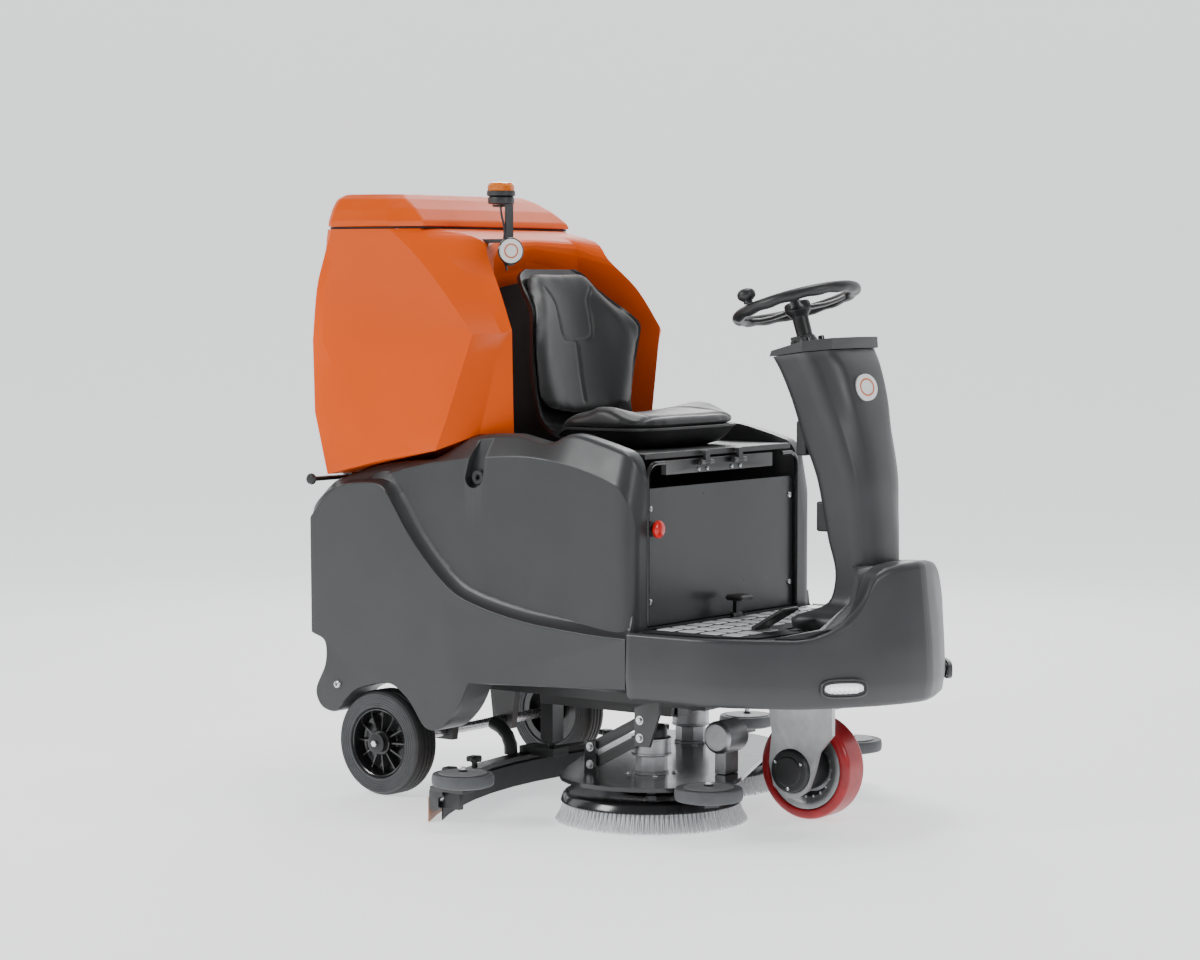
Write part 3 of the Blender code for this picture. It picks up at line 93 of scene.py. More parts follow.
# ---- materials ----------------------------------------------------------------------------
def surface(name, colour, roughness, metallic=0.0, grain=0.15, grain_size=0.0012, mottle=0.08,
            mottle_size=0.12, edge=0.0, coat=0.0, sheen=0.0, spread=0.06):
    """Moulded, painted or cast surface: cloudy colour, uneven gloss, fine grain and worn edges."""
    mat = bpy.data.materials.new(name)
    mat.use_nodes = True
    nodes, link = mat.node_tree.nodes, mat.node_tree.links.new
    shader = nodes["Principled BSDF"]
    shader.inputs["Metallic"].default_value = metallic
    shader.inputs["Coat Weight"].default_value = coat
    shader.inputs["Coat Roughness"].default_value = 0.12
    shader.inputs["Sheen Weight"].default_value = sheen
    where = nodes.new("ShaderNodeTexCoord")

    def noise(size, detail=3.0):
        n = nodes.new("ShaderNodeTexNoise")
        n.inputs["Scale"].default_value = 1.0 / size
        n.inputs["Detail"].default_value = detail
        link(where.outputs["Object"], n.inputs["Vector"])
        return n.outputs["Fac"]

    cloud = nodes.new("ShaderNodeValToRGB")
    cloud.color_ramp.elements[0].position = 0.3
    cloud.color_ramp.elements[1].position = 0.7
    cloud.color_ramp.elements[0].color = [c * (1 - mottle) for c in colour] + [1]
    cloud.color_ramp.elements[1].color = [min(1, c * (1 + mottle)) for c in colour] + [1]
    link(noise(mottle_size), cloud.inputs["Fac"])
    base = cloud.outputs["Color"]
    if edge:
        shape = nodes.new("ShaderNodeNewGeometry")
        rim = nodes.new("ShaderNodeMapRange")
        rim.inputs["From Min"].default_value = 0.52
        rim.inputs["From Max"].default_value = 0.62
        link(shape.outputs["Pointiness"], rim.inputs["Value"])
        worn = nodes.new("ShaderNodeMix")
        worn.data_type = "RGBA"
        link(rim.outputs["Result"], worn.inputs["Factor"])
        link(base, worn.inputs["A"])
        worn.inputs["B"].default_value = [c + (1 - c) * edge for c in colour] + [1]
        base = worn.outputs["Result"]
    link(base, shader.inputs["Base Color"])
    gloss = nodes.new("ShaderNodeMapRange")
    gloss.inputs["To Min"].default_value = max(0.02, roughness - spread)
    gloss.inputs["To Max"].default_value = min(1.0, roughness + spread)
    link(noise(mottle_size * 0.35), gloss.inputs["Value"])
    link(gloss.outputs["Result"], shader.inputs["Roughness"])
    bump = nodes.new("ShaderNodeBump")
    bump.inputs["Strength"].default_value = grain
    bump.inputs["Distance"].default_value = 0.0004
    link(noise(grain_size, 2.0), bump.inputs["Height"])
    link(bump.outputs["Normal"], shader.inputs["Normal"])
    return mat


def glass(name, colour, roughness, glow=0.0, transmission=0.6):
    """Clear or tinted moulding of a lamp."""
    mat = surface(name, colour, roughness, grain=0.05, grain_size=0.004, mottle=0.03)
    shader = mat.node_tree.nodes["Principled BSDF"]
    shader.inputs["Transmission Weight"].default_value = transmission
    shader.inputs["Emission Color"].default_value = [*colour, 1]
    shader.inputs["Emission Strength"].default_value = glow
    return mat


BODY = surface("body_charcoal", (0.034, 0.0365, 0.0375), 0.36, grain=0.35, grain_size=0.0014, edge=0.05)
# painted shade: a darker copy of the body colour for the hollow band above the fender's ridge
BODY_PAINTED_SHADE = surface("body_painted_shade", (0.019, 0.02, 0.0215), 0.46, grain=0.3, grain_size=0.0014)
DECK_GREY = surface("deck_charcoal", (0.036, 0.038, 0.04), 0.36, grain=0.35, grain_size=0.0014, edge=0.06)
COLUMN_GREY = surface("column_charcoal", (0.034, 0.036, 0.038), 0.4, grain=0.35, grain_size=0.0014,
                      edge=0.05)
ORANGE = surface("tank_orange", (0.72, 0.086, 0.0), 0.46, grain=0.28, grain_size=0.0016, mottle=0.04,
                 mottle_size=0.25, edge=0.08)
LID_ORANGE = surface("lid_orange", (0.7, 0.086, 0.0), 0.46, grain=0.28, grain_size=0.0016, mottle=0.04,
                     mottle_size=0.25, edge=0.08)
for orange in (ORANGE, LID_ORANGE):
    orange.node_tree.nodes["Principled BSDF"].inputs["Specular IOR Level"].default_value = 0.12
BLACK = surface("black_moulding", (0.012, 0.012, 0.013), 0.42, grain=0.25, edge=0.03)
GLOSS_BLACK = surface("gloss_black", (0.01, 0.01, 0.011), 0.2, grain=0.1, grain_size=0.003, edge=0.02,
                      coat=0.3)
RECESS = surface("tank_recess_black", (0.01, 0.01, 0.011), 0.5, grain=0.35)
FRAME_PAINT = surface("frame_paint", (0.013, 0.013, 0.014), 0.34, grain=0.3, grain_size=0.003, edge=0.1)
PANEL = surface("panel_paint", (0.026, 0.028, 0.03), 0.3, grain=0.3, grain_size=0.002, mottle=0.05)
VINYL = surface("seat_vinyl", (0.0085, 0.0088, 0.0095), 0.44, grain=0.55, grain_size=0.0022, edge=0.02,
     sheen=0.12)
THREAD = surface("seam_thread", (0.02, 0.02, 0.021), 0.6, grain=0.5, grain_size=0.0008)
TREAD = surface("tyre_tread", (0.02, 0.021, 0.022), 0.62, grain=0.5, grain_size=0.0016)
TYRE_WALL = surface("tyre_rubber", (0.062, 0.065, 0.068), 0.6, grain=0.4, grain_size=0.0016, mottle=0.14,
                    mottle_size=0.04)
ROLLER = surface("roller_rubber", (0.085, 0.089, 0.093), 0.58, grain=0.3, mottle=0.12, mottle_size=0.03)
ROLLER_CAP = surface("roller_cap", (0.17, 0.175, 0.18), 0.45, grain=0.25, mottle=0.06)
RED_TYRE = surface("red_polyurethane", (0.34, 0.01, 0.014), 0.34, grain=0.25, grain_size=0.003, mottle=0.16,
                   mottle_size=0.03, coat=0.15)
RED = surface("button_red", (0.7, 0.012, 0.01), 0.26, grain=0.08, coat=0.3)
STEEL = surface("zinc_steel", (0.62, 0.63, 0.64), 0.27, 1.0, grain=0.3, grain_size=0.002, mottle=0.1,
                mottle_size=0.01, edge=0.1)
CAST = surface("cast_alloy", (0.46, 0.47, 0.48), 0.42, 1.0, grain=0.8, grain_size=0.0022, mottle=0.12,
               mottle_size=0.03, edge=0.15)
CHROME = surface("lamp_chrome", (0.8, 0.81, 0.82), 0.1, 1.0, grain=0.04, mottle=0.02)
CHEQUER = surface("chequer_aluminium", (0.88, 0.89, 0.9), 0.32, 0.35, grain=0.4, grain_size=0.002,
                  mottle=0.14, mottle_size=0.02, edge=0.1)
CHEQUER_BASE = surface("tread_base", (0.02, 0.021, 0.022), 0.55, 0.4, grain=0.5, grain_size=0.003)
BRISTLE = surface("bristle_nylon", (0.74, 0.75, 0.76), 0.48, grain=0.2, mottle=0.12, mottle_size=0.006)
AMBER = surface("amber_rubber", (0.4, 0.17, 0.09), 0.42, grain=0.15, mottle=0.1, mottle_size=0.05)
GASKET = surface("seal_rubber", (0.009, 0.009, 0.01), 0.7, grain=0.3)
BATTERY = surface("battery_case", (0.018, 0.022, 0.035), 0.45, grain=0.25)
WHITE = surface("badge_white", (0.8, 0.8, 0.8), 0.35, grain=0.06, mottle=0.02)
BADGE_MARK = surface("badge_mark", (0.62, 0.16, 0.05), 0.4, grain=0.06, mottle=0.04)
BEACON = glass("beacon_amber", (0.95, 0.26, 0.02), 0.14, glow=0.12)
LED = glass("lamp_led", (0.96, 0.97, 1.0), 0.1, glow=0.9, transmission=0.0)


# ---- mesh helpers -------------------------------------------------------------------------
def add(bm, name, mat, body, angle=32, weighted=True):
    """Turns a bmesh into a piece that rides on a body and takes its finish like a CAD node's."""
    bmesh.ops.recalc_face_normals(bm, faces=bm.faces)
    mesh = bpy.data.meshes.new(name)
    bm.to_mesh(mesh)
    bm.free()
    for face in mesh.polygons:
        face.use_smooth = True
    mesh.set_sharp_from_angle(angle=math.radians(angle))
    obj = bpy.data.objects.new(name, mesh)
    bpy.context.scene.collection.objects.link(obj)
    for m in (mat if isinstance(mat, list) else [mat]):
        mesh.materials.append(m)
    if weighted:
        obj.modifiers.new("normals", "WEIGHTED_NORMAL").keep_sharp = True
    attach(obj, body)
    return obj


def rounded(bm, width, limit, segments):
    """Rounds every edge sharper than the limit and hands back a new bmesh."""
    mesh = bpy.data.meshes.new("rounding")
    bm.to_mesh(mesh)
    bm.free()
    obj = bpy.data.objects.new("rounding", mesh)
    bpy.context.scene.collection.objects.link(obj)
    bevel = obj.modifiers.new("edges", "BEVEL")
    bevel.width = width
    bevel.segments = segments
    bevel.angle_limit = math.radians(limit)
    graph = bpy.context.evaluated_depsgraph_get()
    result = bmesh.new()
    result.from_mesh(obj.evaluated_get(graph).to_mesh())
    bpy.data.objects.remove(obj)
    bpy.data.meshes.remove(mesh)
    return result


def turns(steps):
    """Equal angles round a circle."""
    return [2 * math.pi * i / steps for i in range(steps)]


def loft(bm, rings, ends=True, closed=False):
    """Joins rings of equal length with quads, then closes both ends or runs back to the first ring."""
    rows = rings + rings[:1] if closed else rings
    for a, b in zip(rows, rows[1:]):
        for i in range(len(a)):
            j = (i + 1) % len(a)
            bm.faces.new([a[i], a[j], b[j], b[i]])
    if ends:
        bm.faces.new(rings[0][::-1])
        bm.faces.new(rings[-1])


def catmull(a, b, c, d, t):
    """Value at share t between b and c on a curve through all four."""
    return 0.5 * (2 * b + (c - a) * t + (2 * a - 5 * b + 4 * c - d) * t * t
                  + (3 * b - a - 3 * c + d) * t ** 3)


def carve(bm, cutter, operation="DIFFERENCE"):
    """Cuts one closed bmesh out of another, or joins them."""
    objects = []
    for part in (bm, cutter):
        mesh = bpy.data.meshes.new("carving")
        part.to_mesh(mesh)
        part.free()
        objects.append(bpy.data.objects.new("carving", mesh))
        bpy.context.scene.collection.objects.link(objects[-1])
    cut = objects[0].modifiers.new("cut", "BOOLEAN")
    cut.operation = operation
    cut.solver = "EXACT"
    cut.object = objects[1]
    graph = bpy.context.evaluated_depsgraph_get()
    result = bmesh.new()
    result.from_mesh(objects[0].evaluated_get(graph).to_mesh())
    for obj in objects:
        bpy.data.objects.remove(obj)
    return result


def skin(node, mat, width=0.002, limit=28, segments=2, angle=35):
    """The CAD node's own form with rounded edges and a finished material."""
    bm = bmesh.new()
    bm.from_mesh(frame["nodes"][node].data)
    bmesh.ops.remove_doubles(bm, verts=bm.verts, dist=1e-5)
    bmesh.ops.dissolve_limit(bm, angle_limit=math.radians(0.6), verts=bm.verts, edges=bm.edges)
    for face in bm.faces:
        face.material_index = 0
    bm = rounded(bm, width, limit, segments)
    obj = add(bm, node + "_shell", mat, BODY_OF[node], angle)
    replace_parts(obj, node)
    return obj


def turned(bm, profile, centre, axis, steps=64):
    """Adds a surface of revolution; profile points are radius and distance along the axis."""
    axis = Vector(axis).normalized()
    turn = Z_AXIS.rotation_difference(axis).to_matrix()
    rings = []
    for radius, along in profile:
        if radius < 1e-6:
            rings.append([bm.verts.new(Vector(centre) + axis * along)])
            continue
        points = [Vector((radius * math.cos(a), radius * math.sin(a), along)) for a in turns(steps)]
        rings.append([bm.verts.new(Vector(centre) + turn @ p) for p in points])
    for low, high in zip(rings, rings[1:]):
        for i in range(steps):
            j = (i + 1) % steps
            corners = [low[i % len(low)], low[j % len(low)], high[j % len(high)], high[i % len(high)]]
            unique = list(dict.fromkeys(corners))
            if len(unique) > 2:
                bm.faces.new(unique)
    for ring in (rings[0], rings[-1]):
        if len(ring) > 1:
            bm.faces.new(ring)


def ring_of(bm, profile, centre, axis, steps=96):
    """Adds a closed ring of revolution, its profile joined end to start."""
    axis = Vector(axis).normalized()
    turn = Z_AXIS.rotation_difference(axis).to_matrix()
    rings = []
    for a in turns(steps):
        rings.append([bm.verts.new(Vector(centre) + turn @ Vector((r * math.cos(a), r * math.sin(a), h)))
                      for r, h in profile])
    loft(bm, rings, ends=False, closed=True)


def lathe(name, mat, body, profile, centre, axis, steps=64, angle=32, make=turned):
    """A piece that is one surface of revolution."""
    bm = bmesh.new()
    make(bm, profile, centre, axis, steps)
    return add(bm, name, mat, body, angle)


def block(bm, low, high, matrix=None):
    """Adds a box between two corners, moved by the matrix."""
    result = bmesh.ops.create_cube(bm, size=1.0)
    low, high = Vector(low), Vector(high)
    for v in result["verts"]:
        v.co = Vector([(low[k] + high[k]) / 2 + v.co[k] * (high[k] - low[k]) for k in range(3)])
        if matrix is not None:
            v.co = matrix @ v.co
    return result["verts"]


def swept(bm, points, radius, steps=12, taper=None):
    """Adds a round tube along points; taper gives each point's share of the radius."""
    points = [Vector(p) for p in points]
    count = len(points)
    rings = []
    side = None
    for i, p in enumerate(points):
        ahead = points[i + 1] if i + 1 < count else p
        behind = points[i - 1] if i else p
        way = (ahead - behind).normalized()
        if side is None:
            side = way.orthogonal().normalized()
        side = (side - way * side.dot(way)).normalized()
        other = way.cross(side)
        r = radius * (taper[i] if taper else 1.0)
        rings.append([bm.verts.new(p + (side * math.cos(a) + other * math.sin(a)) * r)
                      for a in turns(steps)])
    loft(bm, rings)


def smooth_path(points, steps=6):
    """Catmull-Rom curve through the points."""
    points = [Vector(p) for p in points]
    points = [points[0] * 2 - points[1]] + points + [points[-1] * 2 - points[-2]]
    path = []
    for a, b, c, d in zip(points, points[1:], points[2:], points[3:]):
        for i in range(steps):
            path.append(catmull(a, b, c, d, i / steps))
    return path + [points[-2]]


def facing(point, normal, spin=0.0):
    """Matrix that takes local Z to the normal at a point."""
    turn = Z_AXIS.rotation_difference(Vector(normal).normalized()).to_matrix().to_4x4()
    return Matrix.Translation(point) @ turn @ Matrix.Rotation(spin, 4, "Z")


# ---- fasteners ----------------------------------------------------------------------------
# a screw head's rings as shares of its radius: reach, height, whether it belongs to the hexagonal socket
SCREW_OUTLINE = ((1.0, 0.0, False), (1.0, 0.22, False), (0.86, 0.52, False), (0.5, 0.66, False),
                 (0.38, 0.66, True), (0.38, 0.25, True))
SCREW_STEPS = 24


def screw_heads(name, spots, radius, body):
    """Button head screws with a hexagonal socket; each spot is a point and a direction."""
    bm = bmesh.new()
    for point, normal in spots:
        rings = []
        matrix = facing(point, normal)
        for share, rise, socket in SCREW_OUTLINE:
            ring = []
            for a in turns(SCREW_STEPS):
                reach = share / math.cos((a % (math.pi / 3)) - math.pi / 6) if socket else share
                ring.append(bm.verts.new(matrix @ Vector((radius * reach * math.cos(a),
                                                          radius * reach * math.sin(a), radius * rise))))
            rings.append(ring)
        loft(bm, rings)
    return add(bm, name, STEEL, body)


def hex_bolts(name, spots, radius, body):
    """Hexagon heads on flat washers."""
    bm = bmesh.new()
    for point, normal in spots:
        turned(bm, [(0, 0), (radius * 1.5, 0), (radius * 1.5, radius * 0.18), (0, radius * 0.18)],
               point, normal, 28)
        turned(bm, [(0, radius * 0.19), (radius, radius * 0.19), (radius, radius * 0.75),
                    (radius * 0.88, radius * 0.9), (0, radius * 0.9)], point, normal, 6)
    return add(bm, name, STEEL, body)


# ---- wheels -------------------------------------------------------------------------------
REAR_RIM_R = 0.0815
RIM_RIBS = 12
REAR_HALF_WIDTH = 0.0373
REAR_TREAD_R = 0.1205                             # faces further out than this take the tread's finish
AXLE_END_Y = 0.3722


def rear_wheel(side, sign):
    centre = middle("rear_tyre_" + side)
    out = Y_AXIS * sign
    body = BODY_OF["rear_tyre_" + side]
    half = REAR_HALF_WIDTH
    wall = [(REAR_RIM_R + 0.0012, half - 0.004), (0.085, half)]
    for i in range(5):                              # moulded rings on the side wall
        r = 0.088 + i * 0.0058
        wall += [(r, half + 0.0), (r + 0.001, half - 0.0012), (r + 0.0036, half - 0.0012),
                 (r + 0.0046, half)]
    wall += [(0.117, half - 0.0018), (0.1205, half - 0.0055), (0.1236, half - 0.011), (0.1248, half - 0.015)]
    tread = []
    for groove in (0.013, 0.0):
        tread += [(0.1249, groove + 0.0022), (0.1222, groove + 0.0014), (0.1222, groove - 0.0014),
                  (0.1249, groove - 0.0022)]
    outer = wall + tread
    profile = outer + [(0.1249, -0.0108), (0.1222, -0.0116), (0.1222, -0.0144), (0.1249, -0.0152)]
    profile += [(r, -h) for r, h in reversed(wall)]
    bm = bmesh.new()
    ring_of(bm, profile, centre, out)
    for face in bm.faces:
        spot = face.calc_center_median() - centre
        if math.hypot(spot.x, spot.z) > REAR_TREAD_R:
            face.material_index = 1
    tyre = add(bm, "rear_tyre_" + side + "_ribbed", [TYRE_WALL, TREAD], body, 40)
    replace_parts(tyre, "rear_tyre_" + side)

    bm = bmesh.new()
    ring_of(bm, [(0.0135, -0.0355), (0.029, -0.0355), (0.0335, -0.01), (0.062, -0.008), (0.066, -0.0335),
                 (REAR_RIM_R, -0.0335), (REAR_RIM_R, 0.0335), (0.0795, 0.035), (0.077, 0.0335),
                      (0.0735, 0.022),
                 (0.069, 0.006), (0.062, 0.004), (0.036, 0.004), (0.0315, 0.006), (0.0295, 0.03),
                 (0.027, 0.0325), (0.0135, 0.0335)], centre, out)
    for a in turns(RIM_RIBS):
        turn = facing(centre, out, a)
        verts = block(bm, (0.029, -0.0018, 0.002), (0.0742, 0.0018, 0.0235), turn)
        inner = turn.inverted()
        for v in verts:
            local = inner @ v.co
            if local.x > 0.06 and local.z > 0.02:
                v.co = turn @ Vector((local.x, local.y, 0.017))
    rim = add(bm, "rear_rim_" + side + "_ribbed", GLOSS_BLACK, body)
    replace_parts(rim, "rear_rim_" + side)
    end = Vector((centre.x, AXLE.y + sign * AXLE_END_Y, centre.z))
    lathe("axle_cap_" + side, BLACK, BODY_OF["rear_axle"],
          [(0, 0), (0.023, 0), (0.024, 0.0012), (0.024, 0.003), (0.0185, 0.0046), (0.011, 0.005),
           (0, 0.005)], end, out, 48)
    lathe("axle_bolt_" + side, STEEL, BODY_OF["rear_axle"],
          [(0, 0.0051), (0.0085, 0.0051), (0.0085, 0.0105), (0.0074, 0.0118), (0, 0.012)], end, out, 6)


DRIVE_R = 0.117
DRIVE_HALF_WIDTH = 0.0385
DRIVE_EDGE_R = 0.013
DRIVE_FINS = 20


def drive_wheel():
    centre = middle("drive_tyre")
    body = BODY_OF["drive_tyre"]
    half, turn_r = DRIVE_HALF_WIDTH, DRIVE_EDGE_R
    arc = [(DRIVE_R - turn_r + turn_r * math.sin(t), half - turn_r + turn_r * math.cos(t))
           for t in [math.radians(18 * i) for i in range(6)]]
    profile = [(0.0948, half - 0.003), (0.0975, half - 0.0004), (0.101, half)] + arc
    profile += [(x, -h) for x, h in reversed(profile)]
    tyre = lathe("drive_tyre_round", RED_TYRE, body, profile, centre, Y_AXIS, 96, make=ring_of)
    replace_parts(tyre, "drive_tyre")

    bm = bmesh.new()
    ring_of(bm, [(0.016, -0.008), (0.056, -0.006), (0.06, -0.012), (0.062, -0.02), (0.066, -0.027),
                 (0.078, -0.0325), (0.085, -0.034), (0.093, -0.034), (0.0941, -0.0325), (0.0941, 0.0325),
                 (0.093, 0.034), (0.08, 0.034), (0.07, 0.02), (0.03, 0.014), (0.026, 0.03),
                 (0.016, 0.03)], centre, Y_AXIS)
    for a in turns(DRIVE_FINS):
        turn = facing(centre, -Y_AXIS, a)
        block(bm, (0.0635, -0.0022, 0.004), (0.0805, 0.0022, 0.0285), turn)
    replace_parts(add(bm, "drive_hub_finned", CAST, body), "drive_hub")

    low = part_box("drive_motor")[0]
    face = Vector((centre.x, low.y, centre.z))
    motor = lathe("drive_motor_turned", BLACK, BODY_OF["drive_motor"],
                  [(0, 0.0), (0.03, 0.0), (0.033, 0.0014), (0.0345, 0.0036), (0.04, 0.004),
                   (0.0455, 0.006), (0.049, 0.011), (0.0498, 0.015), (0.0498, 0.03), (0.0485, 0.031),
                   (0.0485, 0.034), (0.0498, 0.035), (0.0498, 0.092), (0.015, 0.093), (0.015, 0.145),
                   (0, 0.145)], face, Y_AXIS, 72)
    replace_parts(motor, "drive_motor")
    spots = []
    for i in range(3):
        a = math.radians(30 + 120 * i)
        spots.append((face + Vector((0.0385 * math.cos(a), 0.0034, 0.0385 * math.sin(a))), -Y_AXIS))
    screw_heads("drive_motor_screws", spots, 0.0038, BODY_OF["drive_motor"])


def roller(node):
    """Guide roller: a soft grey tyre and a paler top disc; hands back the top point where its bolt goes."""
    low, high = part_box(node)
    centre = (low + high) / 2
    centre.z = low.z
    r = (high.x - low.x) / 2
    height = high.z - low.z
    bulge = [(r - 0.004 + 0.004 * math.cos(t), height / 2 + (height / 2 - 0.004) * math.sin(t))
             for t in [math.radians(-90 + 15 * i) for i in range(13)]]
    section = [(0.0112, 0.001), (0.055, 0.0005)] + bulge
    section += [(0.056, height - 0.005), (0.0112, height - 0.005)]
    tyre = lathe(node + "_tyre", ROLLER, BODY_OF[node], section, centre, Z_AXIS, 72, make=ring_of)
    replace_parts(tyre, node)
    lathe(node + "_disc", ROLLER_CAP, BODY_OF[node],
          [(0.0112, height - 0.0048), (0.054, height - 0.0048), (0.055, height - 0.0036),
           (0.053, height - 0.0018), (0.028, height - 0.0008), (0.024, height), (0.0112, height)],
          centre, Z_AXIS, 64, make=ring_of)
    return Vector((centre.x, centre.y, high.z))


# ---- brushes ------------------------------------------------------------------------------
TUFT_RINGS = (0.132, 0.146, 0.16, 0.174, 0.187, 0.196)
TUFT_PITCH = 0.0105
STRANDS = 5


def brush(side):
    node = "brush_" + side
    low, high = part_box(node)
    centre = (low + high) / 2
    centre.z = 0.0
    body = BODY_OF[node]
    plate = lathe(node + "_plate", GLOSS_BLACK, body,
                  [(0.0125, 0.0475), (0.198, 0.0475), (0.203, 0.0455), (0.2045, 0.047), (0.204, 0.05),
                   (0.199, 0.062), (0.194, 0.067), (0.186, 0.0695), (0.15, 0.07), (0.146, 0.068),
                   (0.08, 0.068), (0.076, 0.07), (0.0125, 0.07)], centre, Z_AXIS, 128, make=ring_of)
    bm = bmesh.new()
    for k, base in enumerate(TUFT_RINGS):
        count = int(2 * math.pi * base / TUFT_PITCH)
        lean = 0.006 + 0.01 * (k / (len(TUFT_RINGS) - 1)) ** 2
        for i in range(count):
            for s in range(STRANDS):
                spread = 2 * math.pi * s / STRANDS + 1.7 * i + k
                a = 2 * math.pi * (i + 0.5 * (k % 2)) / count
                wave = math.sin(12.9898 * i + 78.233 * s + 3.1 * k)
                out = Vector((math.cos(a), math.sin(a), 0))
                along = Vector((-out.y, out.x, 0))
                foot = centre + out * (base + 0.0016 * math.cos(spread)) + along * 0.0016 * math.sin(spread)
                foot.z = 0.0478
                tip = foot + out * (lean + 0.003 * math.cos(spread)) + along * (0.0036 * math.sin(spread))
                tip.z = 0.004 + 0.0012 * wave
                knee = foot.lerp(tip, 0.55) - out * (lean * 0.22)
                swept(bm, [foot, knee, tip], 0.00105, 4)
    tufts = add(bm, node + "_tufts", BRISTLE, body, weighted=False)
    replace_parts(tufts, node)
    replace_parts(plate, node)


def gearmotor(side):
    node = "brush_motor_" + side
    centre = middle(node)
    centre.z = 0.0
    body = BODY_OF[node]
    bm = bmesh.new()
    turned(bm, [(0, 0.1056), (0.04, 0.1056), (0.04, 0.111), (0.037, 0.113), (0.037, 0.146),
                (0.0405, 0.148), (0.0405, 0.1485), (0, 0.1485)], centre, Z_AXIS, 8)
    turned(bm, [(0, 0.149), (0.0455, 0.149), (0.046, 0.15), (0.046, 0.153), (0.044, 0.154),
                (0.044, 0.183), (0.046, 0.184), (0.046, 0.1872), (0.045, 0.188), (0, 0.188)],
           centre, Z_AXIS, 12)
    turned(bm, [(0, 0.0535), (0.0108, 0.0535), (0.0108, 0.105), (0, 0.105)], centre, Z_AXIS, 24)
    gear = add(bm, node + "_gearbox", CAST, body)
    lathe(node + "_cap", BLACK, body,
          [(0, 0.1885), (0.0358, 0.1885), (0.0362, 0.19), (0.0362, 0.205), (0.034, 0.212),
           (0.03, 0.2155), (0.018, 0.216), (0, 0.216)], centre, Z_AXIS, 48)
    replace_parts(gear, node)
    spots = [(centre + Vector((0.052 * math.cos(a), 0.052 * math.sin(a), 0.1053)), Z_AXIS)
             for a in [math.radians(45 + 90 * i) for i in range(4)]]
    hex_bolts(node + "_bolts", spots, 0.0048, body)


# ---- soft pieces --------------------------------------------------------------------------
VOXEL = 0.0055
CLOTH_FRAMES = 20
CLOTH_PRESSURE = 4.0
CUSHION_CAP = 0.0045                              # how far the cloth may move a point of the cushion
BACK_CAP = 0.004
SMOOTH_PASSES = 14
SEAM_WIDTH = 0.0045
STITCH_PITCH = 0.005
STITCH_R = 0.0006


def stuffed(bm, name, cap, against):
    """Swells a cushion's form with cloth pressure by no more than the cap, then smooths its folds out.

    The side towards `against` takes no part in the swelling.
    """
    mesh = bpy.data.meshes.new(name)
    bm.to_mesh(mesh)
    bm.free()
    obj = bpy.data.objects.new(name, mesh)
    scene = bpy.context.scene
    scene.collection.objects.link(obj)
    remesh = obj.modifiers.new("voxels", "REMESH")
    remesh.mode = "VOXEL"
    remesh.voxel_size = VOXEL
    remesh.use_smooth_shade = True
    relax = obj.modifiers.new("relax", "SMOOTH")
    relax.iterations = 6
    relax.factor = 0.5
    freeze(obj)
    rest = [v.co.copy() for v in obj.data.vertices]
    fixed = [v.normal.dot(against) > 0.55 for v in obj.data.vertices]
    cloth = obj.modifiers.new("cloth", "CLOTH")
    cloth.settings.use_pressure = True
    cloth.settings.uniform_pressure_force = CLOTH_PRESSURE
    cloth.settings.effector_weights.gravity = 0.0
    cloth.settings.quality = 4
    scene.frame_start = 1
    scene.frame_end = CLOTH_FRAMES
    cloth.point_cache.frame_end = CLOTH_FRAMES
    for step in range(1, CLOTH_FRAMES + 1):
        scene.frame_set(step)
    freeze(obj)
    for v, home, still in zip(obj.data.vertices, rest, fixed):
        move = v.co - home
        if still:
            move = Vector()
        elif move.length > cap:
            move = move.normalized() * cap
        v.co = home + move
    scene.frame_set(1)
    bm = bmesh.new()
    bm.from_mesh(obj.data)
    for _ in range(SMOOTH_PASSES):
        bmesh.ops.smooth_vert(bm, verts=bm.verts, factor=0.5, use_axis_x=True, use_axis_y=True,
             use_axis_z=True)
    bm.to_mesh(obj.data)
    bm.free()
    return obj


def freeze(obj):
    """Applies every modifier."""
    graph = bpy.context.evaluated_depsgraph_get()
    mesh = bpy.data.meshes.new_from_object(obj.evaluated_get(graph))
    obj.modifiers.clear()
    old = obj.data
    obj.data = mesh
    bpy.data.meshes.remove(old)


def project(tree, points, way, lift=0.0):
    """Lays points onto a surface, looking along a direction."""
    laid = []
    for p in points:
        spot, normal, _, _ = tree.ray_cast(Vector(p) - way * 0.3, way)
        if spot is not None:
            laid.append(spot + normal * lift)
    return laid


def sew(obj, seams, way, depth, width, thread_name):
    """Presses grooves along the seams, then lays a row of stitches in each."""
    graph = bpy.context.evaluated_depsgraph_get()
    tree = BVHTree.FromObject(obj, graph)
    laid = [project(tree, smooth_path(seam, 14), way) for seam in seams]
    for v in obj.data.vertices:
        near = min((v.co - p).length for path in laid for p in path)
        if near < width * 3:
            v.co -= v.normal * depth * math.exp(-(near / width) ** 2)
    obj.data.update()
    graph = bpy.context.evaluated_depsgraph_get()
    graph.update()
    tree = BVHTree.FromObject(obj, graph)
    bm = bmesh.new()
    for path in laid:
        base = project(tree, path, way, 0.0004)
        for a, b in zip(base, base[1:]):
            if (b - a).length < 1e-5 or (b - a).length > 0.03:
                continue
            count = max(1, round((b - a).length / STITCH_PITCH))
            for i in range(count):
                start, end = a.lerp(b, (i + 0.15) / count), a.lerp(b, (i + 0.85) / count)
                swept(bm, [start, (start + end) / 2 - way * 0.0003, end], STITCH_R, 5, taper=[0.6, 1.0, 0.6])
    return add(bm, thread_name, THREAD, "seat", weighted=False)


def finish_soft(obj, node):
    obj.data.materials.clear()
    obj.data.materials.append(VINYL)
    for face in obj.data.polygons:
        face.use_smooth = True
    obj.modifiers.new("finer", "SUBSURF").levels = 1
    obj.modifiers["finer"].render_levels = 1
    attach(obj, BODY_OF[node])
    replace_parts(obj, node)


